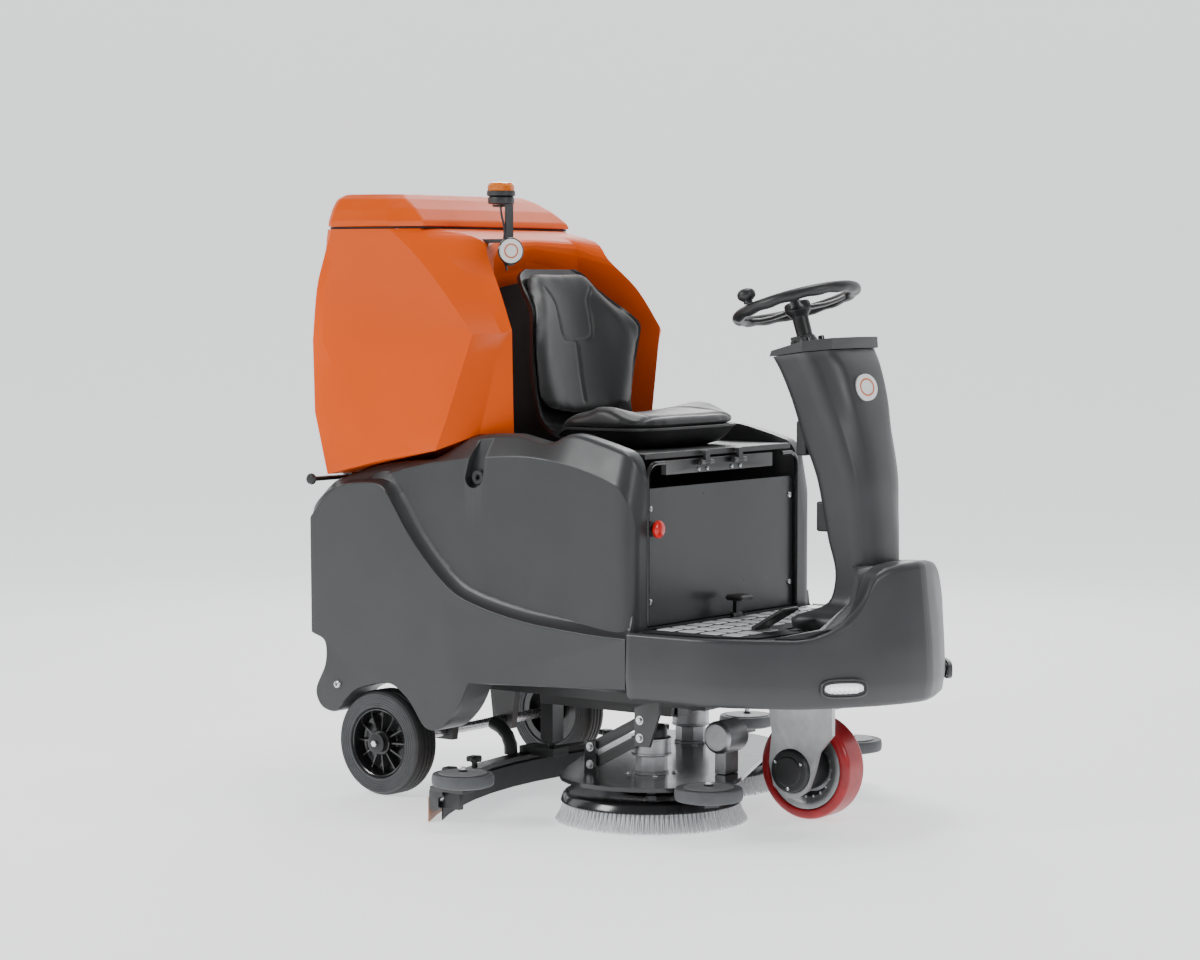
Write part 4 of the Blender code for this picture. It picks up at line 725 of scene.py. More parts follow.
def blended(stations, steps):
    """Smooth in-between stations, each a tuple of numbers."""
    rows = [stations[0]] + list(stations) + [stations[-1]]
    out = []
    for a, b, c, d in zip(rows, rows[1:], rows[2:], rows[3:]):
        for i in range(steps):
            out.append(tuple(catmull(*four, i / steps) for four in zip(a, b, c, d)))
    return out + [tuple(stations[-1])]


# along the back and the base: x, z, half width, how far the sides curl forward, facing in degrees
SHELL_PATH = ((0.5, 0.836, 0.15, 0.004, 90), (0.44, 0.838, 0.18, 0.01, 88), (0.375, 0.846, 0.186, 0.018, 70),
              (0.326, 0.868, 0.182, 0.028, 45), (0.304, 0.9, 0.182, 0.034, 22), (0.292, 0.95, 0.19, 0.04, 9),
              (0.282, 1.01, 0.202, 0.052, 8), (0.275, 1.055, 0.209, 0.064, 9),
                   (0.268, 1.092, 0.212, 0.074, 11),
              (0.261, 1.122, 0.188, 0.062, 13), (0.252, 1.152, 0.164, 0.042, 15),
                   (0.242, 1.188, 0.144, 0.018, 17),
              (0.233, 1.222, 0.126, 0.004, 19), (0.229, 1.238, 0.096, 0.0, 20))
BACK_PATH = ((0.33, 0.892, 0.16, 0.026, 42), (0.307, 0.922, 0.182, 0.034, 20), (0.296, 0.96, 0.189, 0.04, 10),
             (0.287, 1.01, 0.196, 0.05, 8), (0.28, 1.055, 0.203, 0.062, 9), (0.273, 1.09, 0.206, 0.073, 11),
             (0.266, 1.12, 0.182, 0.06, 13), (0.257, 1.15, 0.158, 0.04, 15), (0.247, 1.185, 0.138, 0.016, 17),
             (0.239, 1.214, 0.12, 0.002, 19), (0.235, 1.229, 0.094, 0.0, 20))


def across(station, t, out):
    """A point of a seat section at t from -1 to 1, moved out along the way it faces."""
    x, z, half, curl, degrees = station
    face = Vector((math.cos(math.radians(degrees)), 0, math.sin(math.radians(degrees))))
    return place(x, t * half, z) + face * (curl * t * t + out)


def sections(stations, columns, outer, inner):
    """Closed bmesh lofted through seat sections; outer and inner give its surfaces at t and share along."""
    bm = bmesh.new()
    loops = []
    for k, station in enumerate(stations):
        share = k / (len(stations) - 1)
        ts = [2 * i / (columns - 1) - 1 for i in range(columns)]
        front = [bm.verts.new(across(station, t, outer(t, share))) for t in ts]
        back = [bm.verts.new(across(station, t, inner(t, share))) for t in reversed(ts)]
        loops.append(front + back)
    loft(bm, loops, ends=False)
    n = len(loops[0])
    for end in (loops[0], loops[-1]):
        for i in range(columns - 1):
            bm.faces.new([end[i], end[i + 1], end[n - 2 - i], end[n - 1 - i]])
    bmesh.ops.recalc_face_normals(bm, faces=bm.faces)
    return bm


def rounded_plan(half_x, half_y, power, steps=72):
    """Rounded rectangle as points of a superellipse."""
    points = []
    for a in turns(steps):
        c, s = math.cos(a), math.sin(a)
        points.append((half_x * math.copysign(abs(c) ** (2 / power), c),
                       half_y * math.copysign(abs(s) ** (2 / power), s)))
    return points


CUSHION_X = 0.519
CUSHION_HALF = (0.137, 0.221)
CUSHION_BASE_Z = 0.8775
CUSHION_TOP_Z = 0.902


def dip(x):
    """How far the seat sinks towards its rear edge."""
    return 0.75 * max(0.0, 0.445 - x) ** 1.2


def cushion_drop(x, y):
    """The cushion's sides swell into wings and it dips towards the back rest."""
    wing = 0.024 * math.exp(-((x - 0.535) / 0.06) ** 2) * min(1, abs(y) / 0.19) ** 3
    return wing - dip(x)


def plan_stack(levels, power, lift):
    """Closed bmesh through rounded plans; each level is a height and a share of the cushion's size."""
    bm = bmesh.new()
    loops = []
    for z, share in levels:
        loop = []
        for dx, dy in rounded_plan(CUSHION_HALF[0] * share, CUSHION_HALF[1] * share, power):
            x, y = CUSHION_X + dx, dy
            rise = lift(x, y)
            if rise > 0:                           # only the upper side swells
                rise *= min(1.0, max(0.0, (z - levels[0][0]) / (levels[-1][0] - levels[0][0])))
            loop.append(bm.verts.new(place(x, y, z + rise)))
        loops.append(loop)
    loft(bm, loops)
    bmesh.ops.recalc_face_normals(bm, faces=bm.faces)
    return bm


def back_swell(t, share):
    """How far the back pad's front stands out: two side wings, thin at every edge."""
    wing = 0.007 * math.exp(-((abs(t) - 0.78) / 0.2) ** 2)
    return 0.008 + (0.02 + wing) * (1 - abs(t) ** 5) * (1 - (2 * share - 1) ** 8)


def seat():
    down = Vector((0, 0, -1))
    base, top = CUSHION_BASE_Z, CUSHION_TOP_Z
    form = plan_stack([(base, 0.5), (base, 0.955), (base + 0.006, 0.985), (base + 0.018, 0.985),
                       (top - 0.006, 0.95), (top - 0.001, 0.86), (top, 0.7), (top - 0.002, 0.35)], 4.5,
                      cushion_drop)
    cushion = stuffed(form, "seat_cushion_vinyl", CUSHION_CAP, down)
    lines = [[(0.63, y) for y in (-0.175, -0.12, -0.06, 0, 0.06, 0.12, 0.175)]]
    for sign in (-1, 1):
        lines.append([(x, sign * (0.15 - 0.022 * math.sin((x - 0.42) / 0.21 * math.pi)))
                      for x in (0.63, 0.6, 0.56, 0.52, 0.48, 0.445)])
    sew(cushion, [[place(x, y, 1) for x, y in line] for line in lines], down, 0.003, SEAM_WIDTH,
        "seat_cushion_stitching")
    finish_soft(cushion, "seat_cushion")

    behind = Vector((-math.cos(math.radians(12)), 0, -math.sin(math.radians(12))))
    back_form = sections(blended(BACK_PATH, 4), 25, back_swell, lambda t, k: 0.002)
    back = stuffed(back_form, "seat_back_vinyl", BACK_CAP, behind)
    panel = [(-0.088, 1.196), (-0.066, 1.165), (-0.062, 1.125), (-0.06, 1.09), (-0.052, 1.074),
         (-0.03, 1.068),
             (0.03, 1.068), (0.052, 1.074), (0.06, 1.09), (0.062, 1.125), (0.066, 1.165), (0.088, 1.196)]
    seams = [[place(0.3, y, z) for y, z in panel], [place(0.3, 0, z) for z in (1.066, 1.03, 1.0, 0.965,
         0.92)]]
    sew(back, seams, behind, 0.0032, SEAM_WIDTH, "seat_back_stitching")
    finish_soft(back, "seat_back")

    bm = sections(blended(SHELL_PATH, 4), 25, lambda t, k: -0.0006 + 0.003 * t ** 20,
                  lambda t, k: -0.007 - 0.001 * t ** 20)
    shell = add(bm, "seat_shell_moulded", GLOSS_BLACK, "seat", 50)
    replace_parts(shell, "seat_shell")
    tub = plan_stack([(0.829, 0.6), (0.829, 0.68), (0.8345, 0.79), (0.846, 0.88), (0.86, 0.945),
                      (0.87, 0.985), (0.8712, 1.0), (0.876, 1.004), (0.877, 0.995), (0.877, 0.6)], 4.5,
                     lambda x, y: -dip(x))
    add(tub, "seat_tub", BLACK, "seat", 50)
    skin("seat_plate", BLACK, 0.0015)


# ---- body ---------------------------------------------------------------------------------
BODY_TOP = ((-0.262, 0.655), (-0.205, 0.69), (-0.155, 0.735), (-0.12, 0.748), (-0.02, 0.779), (0.087, 0.794),
            (0.165, 0.802), (0.262, 0.853), (0.388, 0.864), (0.44, 0.855), (0.49, 0.847), (0.525, 0.862),
            (0.56, 0.869), (0.64, 0.852), (0.69, 0.838), (0.708, 0.831), (0.723, 0.817), (0.733, 0.794),
            (0.737, 0.764))
BODY_SHOULDER = ((-0.262, 0.64), (-0.155, 0.715), (0.0, 0.756), (0.165, 0.792), (0.262, 0.806),
     (0.388, 0.816),
                 (0.46, 0.816), (0.56, 0.803), (0.64, 0.783), (0.69, 0.766), (0.708, 0.754), (0.723, 0.73),
                 (0.733, 0.695), (0.737, 0.64))
BODY_HALF = ((-0.262, 0.3), (-0.225, 0.338), (-0.19, 0.355), (-0.15, 0.36), (0.2, 0.362), (0.56, 0.364),
             (0.69, 0.371), (0.71, 0.37), (0.723, 0.366), (0.731, 0.358), (0.736, 0.346), (0.737, 0.334))
BODY_FRONT_X = 0.737
BAY_HALF_W = 0.306
FENDER_TOP = ((-0.193, 0.655), (-0.15, 0.7), (-0.1, 0.732), (-0.02, 0.742), (0.03, 0.735), (0.055, 0.705),
              (0.124, 0.61), (0.215, 0.52), (0.291, 0.48), (0.439, 0.447), (0.619, 0.43), (0.733, 0.426))
FENDER_BASE = ((0.733, 0.31), (0.29, 0.29), (0.255, 0.225), (0.203, 0.178), (0.157, 0.177), (0.11, 0.235),
               (0.06, 0.268), (0.014, 0.268), (-0.05, 0.25), (-0.086, 0.222), (-0.115, 0.193), (-0.15, 0.194),
               (-0.172, 0.213), (-0.175, 0.243), (-0.147, 0.3), (-0.15, 0.355), (-0.191, 0.374))
FENDER_GROOVE = 0.04                            # the hollow band above the fender's ridge


def value_at(table, x, straight=False):
    """Smooth value of a table at x."""
    k = max(i for i in range(len(table) - 1) if table[i][0] <= x + 1e-9)
    (x0, a), (x1, b) = table[k], table[k + 1]
    t = (x - x0) / (x1 - x0)
    if straight:
        return a + (b - a) * t
    before = (b - table[k - 1][1]) / (x1 - table[k - 1][0]) if k else (b - a) / (x1 - x0)
    after = (table[k + 2][1] - a) / (table[k + 2][0] - x0) if k + 2 < len(table) else (b - a) / (x1 - x0)
    h = x1 - x0
    return ((2 * t ** 3 - 3 * t * t + 1) * a + (t ** 3 - 2 * t * t + t) * h * before
            + (3 * t * t - 2 * t ** 3) * b + (t ** 3 - t * t) * h * after)


def ring_stack(loops):
    """Closed bmesh through loops of equal length."""
    bm = bmesh.new()
    loft(bm, [[bm.verts.new(p) for p in loop] for loop in loops])
    bmesh.ops.recalc_face_normals(bm, faces=bm.faces)
    return bm


def body_block():
    """The moulding's main form: flat flanks, a sloping shoulder, a rounded front and rear."""
    start = BODY_TOP[0][0]
    steps = [start + (0.69 - start) * i / 72 for i in range(73)]
    steps += [0.69 + (BODY_FRONT_X - 0.69) * math.sin(math.pi / 2 * i / 14) for i in range(1, 15)]
    loops = []
    for x in steps:
        wide, top = value_at(BODY_HALF, x), value_at(BODY_TOP, x)
        shoulder = value_at(BODY_SHOULDER, x)
        lean = min(0.024, 0.6 * (top - shoulder))
        base = 0.368 + (0.3 - 0.368) * min(1, max(0, (x + 0.16) / 0.012))
        half = [(0.0, base), (wide - 0.01, base), (wide, base + 0.012), (wide, 0.45 * base + 0.55 * shoulder),
                (wide, shoulder - 0.006), (wide - 0.0015, shoulder), (wide - lean, top - 0.01),
                (wide - lean - 0.004, top - 0.004), (wide - lean - 0.011, top), (0.0, top)]
        loops.append([place(x, -y, z) for y, z in half] + [place(x, y, z) for y, z in reversed(half[1:-1])])
    return ring_stack(loops)


def fender(sign):
    """Raised moulding over the wheel, with a hollow band along its upper ridge."""
    def smooth(points, steps):
        return [(p.x, p.y) for p in smooth_path([Vector((x, z, 0)) for x, z in points], steps)]

    top, base = smooth(FENDER_TOP, 5), smooth(FENDER_BASE[1:], 5)
    base = [FENDER_BASE[0]] + base
    crest = []
    for k, (x, z) in enumerate(top):
        (ax, az), (bx, bz) = top[max(k - 1, 0)], top[min(k + 1, len(top) - 1)]
        run = Vector((bx - ax, bz - az)).normalized()
        grow = 0.006 + FENDER_GROOVE * min(1.0, max(0.0, (x + 0.04) / 0.1))
        crest.append((x - run.y * grow, z + run.x * grow))
    between_both = [((a + 2 * c) / 3, (b + 2 * d) / 3) for (a, b), (c, d) in zip(crest, top)]
    levels = ((0.292, crest, base), (0.3585, crest, base), (0.3655, between_both, base), (0.379, top, base),
              (0.3835, [(x, z - 0.0022) for x, z in top], [(x, z + 0.0018) for x, z in base]),
              (0.385, [(x, z - 0.0065) for x, z in top], [(x, z + 0.0055) for x, z in base]))
    return ring_stack([[place(x, sign * y, z) for x, z in upper + lower] for y, upper, lower in levels])


def box_bmesh(x0, x1, y0, y1, z0, z1):
    bm = bmesh.new()
    block(bm, place(x0, y0, z0), place(x1, y1, z1))
    bmesh.ops.recalc_face_normals(bm, faces=bm.faces)
    return bm


SLOT_X, SLOT_Z = 0.289, 0.764                     # the middle of the slot's round bottom
SLOT_R = 0.026
SLOT_SLANT = 0.12
SLOT_FLOOR_Y = 0.34


def slots():
    """Round-bottomed slots in the flanks that reach the tank's locking bolts."""
    bm = bmesh.new()
    for sign in (-1, 1):
        plan = [(SLOT_R * math.cos(a), SLOT_R * math.sin(a))
                for a in [math.pi * (1 + i / 20) for i in range(21)]]
        plan += [(0.027, 0.04), (0.027, 0.11), (0.004, 0.11), (-0.016, 0.06)]
        loft(bm, [[bm.verts.new(place(SLOT_X + u + SLOT_SLANT * v, sign * y, SLOT_Z + v)) for u, v in plan]
                  for y in (0.42, SLOT_FLOOR_Y)])
    bmesh.ops.recalc_face_normals(bm, faces=bm.faces)
    return bm


def painted_shade_index(face):
    """Painted shade: the hollow band above the fender's ridge takes a darker, rougher copy of the body's
    finish.
    """
    c = face.calc_center_median() - Vector((AXLE.x, 0, 0))
    shade_band = 0.36 < abs(c.y) < 0.379 and -0.03 < c.x < 0.735 and 0.4 < c.z < 0.76
    return 1 if shade_band and face.normal.z > 0.15 and 0.15 < abs(face.normal.y) < 0.97 else 0


def body_shell():
    bm = body_block()
    for sign in (-1, 1):
        bm = carve(bm, fender(sign), "UNION")
        hinge_ear = box_bmesh(-0.199, -0.171, *sorted((sign * 0.235, sign * 0.26)), 0.66, 0.756)
        bm = carve(bm, hinge_ear, "UNION")
    for low_x, high_x, half, base, top in ((-0.1, 0.7, BAY_HALF_W, 0.33, 0.95),
                                           (0.69, 0.8, BAY_HALF_W, 0.4395, 0.95),
                                           (0.737, 0.8, 0.5, 0.2, 0.444)):
        bm = carve(bm, box_bmesh(low_x, high_x, -half, half, base, top))
    bm = carve(bm, slots())
    bmesh.ops.remove_doubles(bm, verts=bm.verts, dist=2e-5)
    bmesh.ops.dissolve_limit(bm, angle_limit=math.radians(0.01), verts=bm.verts, edges=bm.edges)
    bm = rounded(bm, 0.003, 40, 2)
    bm.normal_update()
    # faces of the hollow band above the fender's ridge take the painted shade material
    for face in bm.faces:
        face.material_index = painted_shade_index(face)
    body = add(bm, "solution_tank_moulded", [BODY, BODY_PAINTED_SHADE], "chassis", 32)
    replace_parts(body, "solution_tank")
    rim = bmesh.new()                              # seal round the battery bay's front
    x, side, base, top, turn = 0.735, BAY_HALF_W - 0.003, 0.446, 0.806, 0.03
    line = [(side, base), (side, top - turn)]
    line += [(side - turn + turn * math.cos(a), top - turn + turn * math.sin(a))
             for a in [math.pi / 2 * i / 6 for i in range(1, 7)]]
    line += [(side - 0.05, top), (side - 0.065, top)]
    for sign in (-1, 1):
        swept(rim, [place(x, sign * y, z) for y, z in line], 0.005, 10)
    add(rim, "bay_seal", GLOSS_BLACK, "chassis")
    bosses = bmesh.new()
    for sign in (-1, 1):
        ring_of(bosses, [(0.005, 0.0), (0.0175, 0.0), (0.0175, 0.008), (0.0155, 0.01), (0.0075, 0.01),
                         (0.005, 0.007)], place(SLOT_X, sign * 0.3401, 0.762), Y_AXIS * sign, 40)
    add(bosses, "tank_lock_bosses", BLACK, "chassis")
    screw_heads("body_screws", [(place(-0.108, sign * 0.3852, 0.258), Y_AXIS * sign) for sign in (-1, 1)],
                0.01, "chassis")
    low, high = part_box("front_panel")
    corners = [(Vector((high.x, y, z)), X_AXIS) for y in (low.y + 0.016, high.y - 0.016)
               for z in (low.z + 0.055, high.z - 0.045)]
    skin("front_panel", PANEL, 0.0008)
    screw_heads("front_panel_screws", corners, 0.0075, "chassis")
    skin("seat_crossbar", FRAME_PAINT, 0.0008, 40, 1)
    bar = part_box("seat_crossbar")
    bolts = [(Vector((place(0.7236, 0, 0).x, y + dy, bar[0].z + 0.0075)), X_AXIS)
             for y in (-0.072, 0.062) for dy in (-0.017, 0.017)]
    screw_heads("seat_hinge_bolts", bolts, 0.0048, "chassis")
    for node, mat in (("battery_pack_front", BATTERY), ("battery_pack_rear", BATTERY),
         ("suction_motor", BLACK),
                      ("chassis_frame", FRAME_PAINT), ("rear_axle", STEEL), ("steering_gearcase", CAST),
                      ("tank_hinge_rod", BLACK), ("emergency_button_base", BLACK)):
        skin(node, mat, 0.0012, 40)
    centre = middle("emergency_button")
    start = Vector((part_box("emergency_button")[0].x, centre.y, centre.z))
    cap = lathe("emergency_button_cap", RED, "emergency_button",
                [(0, 0), (0.0061, 0), (0.0061, 0.0108), (0.017, 0.0108), (0.0194, 0.012), (0.02, 0.014),
                 (0.0196, 0.018), (0.017, 0.0212), (0.012, 0.0232), (0.006, 0.0241), (0, 0.0243)],
                start, X_AXIS)
    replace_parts(cap, "emergency_button")


# Each level of the tank: rear, rear corner, side fold, side crease, wing front, wing edge, recess, middle
TANK_LEVELS = (
    ((-0.165, -0.33, 0.752), (-0.158, -0.362, 0.753), (0.02, -0.38, 0.792), (0.19, -0.381, 0.821),
     (0.264, -0.312, 0.858), (0.333, -0.27, 0.858), (0.152, -0.235, 0.808), (0.148, 0.0, 0.808)),
    ((-0.208, -0.33, 0.9), (-0.196, -0.363, 0.9), (-0.05, -0.3825, 0.89), (0.222, -0.3815, 0.89),
     (0.284, -0.312, 0.92), (0.336, -0.276, 0.92), (0.15, -0.235, 0.89), (0.146, 0.0, 0.89)),
    ((-0.2145, -0.33, 1.07), (-0.202, -0.362, 1.07), (-0.165, -0.37, 1.07), (0.293, -0.371, 1.09),
     (0.332, -0.313, 1.09), (0.345, -0.292, 1.098), (0.144, -0.23, 1.1), (0.14, 0.0, 1.1)),
    ((-0.208, -0.326, 1.19), (-0.196, -0.354, 1.19), (-0.165, -0.358, 1.192), (0.175, -0.34, 1.195),
     (0.244, -0.296, 1.2), (0.292, -0.27, 1.19), (0.152, -0.21, 1.2), (0.148, 0.0, 1.24)),
    ((-0.2, -0.32, 1.262), (-0.182, -0.345, 1.262), (-0.155, -0.346, 1.264), (0.088, -0.32, 1.265),
     (0.152, -0.29, 1.265), (0.232, -0.236, 1.26), (0.196, -0.15, 1.288), (0.19, 0.0, 1.296)),
    ((-0.197, -0.316, 1.31), (-0.172, -0.336, 1.31), (-0.14, -0.333, 1.312), (0.024, -0.312, 1.312),
     (0.092, -0.284, 1.312), (0.198, -0.222, 1.306), (0.16, -0.14, 1.314), (0.156, 0.0, 1.316)),
    ((-0.195, -0.314, 1.333), (-0.168, -0.332, 1.333), (-0.12, -0.325, 1.333), (-0.01, -0.308, 1.333),
     (0.062, -0.282, 1.333), (0.08, -0.22, 1.333), (0.086, -0.12, 1.333), (0.088, 0.0, 1.333)))
TANK_KNEE = 2                                     # below this level the creases run straight
TANK_WALL = 0.012


def tank_rows(levels):
    """Extra rows between levels: straight below the knee and curved above it."""
    rows = []
    for k, (a, b) in enumerate(zip(levels, levels[1:])):
        before = levels[k - 1] if k > TANK_KNEE else a
        after = levels[k + 2] if k + 2 < len(levels) and k >= TANK_KNEE else b
        for i in range(4):
            t = i / 4
            row = []
            for p0, p1, p2, p3 in zip(before, a, b, after):
                point = []
                for q0, q1, q2, q3 in zip(p0, p1, p2, p3):
                    point.append(q1 + (q2 - q1) * t if k < TANK_KNEE else catmull(q0, q1, q2, q3, t))
                row.append(tuple(point))
            rows.append(row)
    return rows + [levels[-1]]


def tank_shell():
    """Both sides of the tank's outer wall, the open top, and the inside down to its floor."""
    bm = bmesh.new()
    rows = tank_rows(TANK_LEVELS)

    def ring(row, inset):
        half = []
        for x, y, z in row:
            if inset:
                x = max(-0.185, min(0.118, x - math.copysign(TANK_WALL, x)))
                y = y + TANK_WALL * 1.3 if y else y
            half.append((x, y, z))
        full = half + [(x, -y, z) for x, y, z in reversed(half[:-1])]
        return [bm.verts.new(place(*p)) for p in full]

    outer = [ring(row, False) for row in rows]
    inner = [ring(row, True) for row in reversed(rows) if row[-1][2] > 0.87]
    loft(bm, outer + inner)
    bmesh.ops.recalc_face_normals(bm, faces=bm.faces)
    bmesh.ops.dissolve_limit(bm, angle_limit=math.radians(0.4), verts=bm.verts, edges=bm.edges)
    bm = rounded(bm, 0.009, 11, 4)
    bm.normal_update()
    for face in bm.faces:
        c = face.calc_center_median() - Vector((AXLE.x, 0, 0))
        recess = c.x > 0.138 and abs(c.y) < 0.2635 and c.z < 1.185
        face.material_index = 1 if recess and face.normal.x > 0.6 and c.x < 0.2 else 0
    tank = add(bm, "recovery_tank_moulded", [ORANGE, RECESS], "recovery_tank", 30)
    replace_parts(tank, "recovery_tank")
    lugs = bmesh.new()
    rod = middle("tank_hinge_rod")
    for sign in (-1, 1):
        for y in (0.202, 0.228):
            turned(lugs, [(0, 0), (0.015, 0), (0.016, 0.001), (0.016, 0.012), (0.015, 0.013), (0, 0.013)],
                   Vector((rod.x, sign * y - 0.0065, rod.z)), Y_AXIS, 32)
    add(lugs, "tank_hinge_lugs", ORANGE, "recovery_tank")


BADGE_WAY = Vector((0.84, -0.54, 0)).normalized()
BADGE_AT = (0.2745, -0.209, 1.28)
# the beacon's lead from the lens down to the tank
LEAD = ((0.25, -0.214, 1.386), (0.256, -0.218, 1.365), (0.262, -0.214, 1.33), (0.2585, -0.212, 1.3),
        (0.257, -0.208, 1.262), (0.255, -0.196, 1.235))


def recovery_tank():
    tank_shell()
    skin("tank_lid", LID_ORANGE, 0.006, 5, 3, 30)
    skin("lid_gasket", GASKET, 0.001, 30)
    skin("beacon_arm", BLACK, 0.0012, 40)
    skin("beacon_base", BLACK, 0.0015, 40)
    low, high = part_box("beacon_lens")
    centre = (low + high) / 2
    centre.z = low.z
    bm = bmesh.new()
    profile = [(0, 0), (0.031, 0), (0.033, 0.0012), (0.0335, 0.011), (0.0315, 0.0122)]
    for i in range(4):
        h = 0.0132 + i * 0.0032
        profile += [(0.0322, h), (0.0312, h + 0.0016)]
    profile += [(0.03, 0.0268), (0.0265, 0.0306), (0.018, 0.0322), (0, 0.0326)]
    turned(bm, profile, centre, Z_AXIS, 72)
    for face in bm.faces:
        face.material_index = 1 if face.calc_center_median().z < centre.z + 0.012 else 0
    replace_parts(add(bm, "beacon_lens_ribbed", [BEACON, BLACK], "recovery_tank"), "beacon_lens")
    disc = place(*BADGE_AT)
    lathe("beacon_badge_rim", GLOSS_BLACK, "recovery_tank",
          [(0, 0), (0.03, 0), (0.031, 0.0015), (0.031, 0.006), (0.03, 0.0072), (0.029, 0.0072),
           (0.0287, 0.006), (0, 0.006)], disc, BADGE_WAY)
    lathe("beacon_badge", WHITE, "recovery_tank",
          [(0, 0.0061), (0.0284, 0.0061), (0.0276, 0.0072), (0, 0.0078)], disc, BADGE_WAY)
    lathe("beacon_badge_ring", BADGE_MARK, "recovery_tank",
          [(0.014, 0.0074), (0.0172, 0.0072), (0.0172, 0.0082), (0.014, 0.0084)], disc, BADGE_WAY, 56,
          make=ring_of)
    bm = bmesh.new()
    swept(bm, smooth_path([place(*p) for p in LEAD], 5), 0.0026, 10)
    add(bm, "beacon_lead_clipped", BLACK, "recovery_tank")


# ---- foot deck ----------------------------------------------------------------------------
PAD_PITCH = 0.0585
PAD_HALF = 0.0228
PAD_RISE = 0.0011
PAD_ROW_X = 0.905
PAD_PLAN = ((1, -0.8), (1, 0.8), (0.8, 1), (-0.8, 1), (-1, 0.8), (-1, -0.8), (-0.8, -1), (0.8, -1))
# the part of the foot plate that carries pads
PAD_FIELD = ((0.752, -0.285), (0.77, -0.352), (0.93, -0.34), (1.02, -0.3), (1.036, -0.2),
             (1.036, -0.15), (0.97, -0.138), (0.97, 0.138), (1.036, 0.15), (1.036, 0.2),
             (1.02, 0.3), (0.93, 0.34), (0.77, 0.352), (0.752, 0.285))


def inside(outline, x, y):
    """Whether a point lies within a closed outline."""
    hit = False
    for (ax, ay), (bx, by) in zip(outline, outline[1:] + outline[:1]):
        if (ay > y) != (by > y) and x < (bx - ax) * (y - ay) / (by - ay) + ax:
            hit = not hit
    return hit


# half of the front deck's outline, from its rear corner round to the nose
DECK_HALF = ((0.7375, 0.385), (0.83, 0.383), (0.93, 0.377), (1.0, 0.355), (1.06, 0.326), (1.126, 0.286),
             (1.168, 0.24), (1.198, 0.198), (1.236, 0.134), (1.262, 0.072), (1.275, 0.021))
SHIELD_RISE = ((0.29, 0.4385), (0.265, 0.443), (0.235, 0.456), (0.205, 0.476), (0.18, 0.502),
               (0.162, 0.53), (0.15, 0.558), (0.136, 0.576), (0.11, 0.588), (0.06, 0.595), (0.0, 0.597))


SHIELD_FOOT_Z = 0.437


def between(table, value):
    """Linear value of a two-column table whose first column falls."""
    for (a, p), (b, q) in zip(table, table[1:]):
        if b <= value <= a:
            return p + (q - p) * (a - value) / (a - b)
    return table[0][1] if value > table[0][0] else table[-1][1]


def front_shield():
    """The deck's front wall, swept up into a shield round the foot of the column."""
    edge = smooth_path([Vector((x, y, 0)) for x, y in DECK_HALF + ((1.277, 0.0),)], 8)
    path = edge + [Vector((p.x, -p.y, 0)) for p in reversed(edge[:-1])]
    bm = bmesh.new()
    loops = []
    for k, p in enumerate(path):
        ahead = (path[min(k + 1, len(path) - 1)] - path[max(k - 1, 0)]).normalized()
        inward = Vector((ahead.y, -ahead.x, 0))
        if inward.dot(Vector((1.0, 0, 0)) - p) < 0:
            inward = -inward
        height = between(SHIELD_RISE, abs(p.y))
        rise = height - SHIELD_FOOT_Z
        depth = 0.012 + 0.05 * min(1.0, rise / 0.1)
        lean = 0.016 * (rise / 0.16) ** 2
        bend = 0.0065 + 0.01 * min(1.0, rise / 0.05)
        row = [(0.0135, 0.2882), (0.0015, 0.299), (-0.0048, 0.34), (-0.0022, 0.4), (-0.001, 0.424),
               (lean * 0.5 - 0.0008, (0.424 + height - bend) / 2), (lean - 0.0006, height - bend)]
        row += [(lean + bend * (1 - math.cos(a)), height - bend + bend * math.sin(a))
                for a in [math.pi / 2 * i / 4 for i in range(1, 5)]]
        row += [(depth + lean, height - 0.0006), (depth + lean, 0.43), (0.016, 0.43), (0.016, 0.2882)]
        loops.append([bm.verts.new(place(p.x + inward.x * d, p.y + inward.y * d, z)) for d, z in row])
    loft(bm, loops)
    add(bm, "front_shield", DECK_GREY, "chassis", 50)


def foot_deck():
    skin("front_deck", DECK_GREY, 0.004, 26, 3, 30)
    front_shield()
    skin("tread_plate", CHEQUER_BASE, 0.0006, 40, 1)
    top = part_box("tread_plate")[1].z
    bm = bmesh.new()
    for i in range(-6, 7):
        for j in range(-7, 8):
            x, y = PAD_ROW_X + i * PAD_PITCH, j * PAD_PITCH
            if not all(inside(PAD_FIELD, x + u, y + v) for u in (-0.016, 0.016) for v in (-0.016, 0.016)):
                continue
            loops = []
            for share, rise in ((1.0, 0.0), (0.97, 0.8), (0.92, 1.0), (0.4, 0.92)):
                reach = PAD_HALF * share
                loops.append([bm.verts.new(place(x + u * reach, y + v * reach, top + PAD_RISE * rise))
                              for u, v in PAD_PLAN])
            loft(bm, loops)
    add(bm, "tread_pads", CHEQUER, "chassis")
    skin("drive_pedal", BLACK, 0.0012, 40)
    skin("squeegee_pedal", BLACK, 0.003, 40)


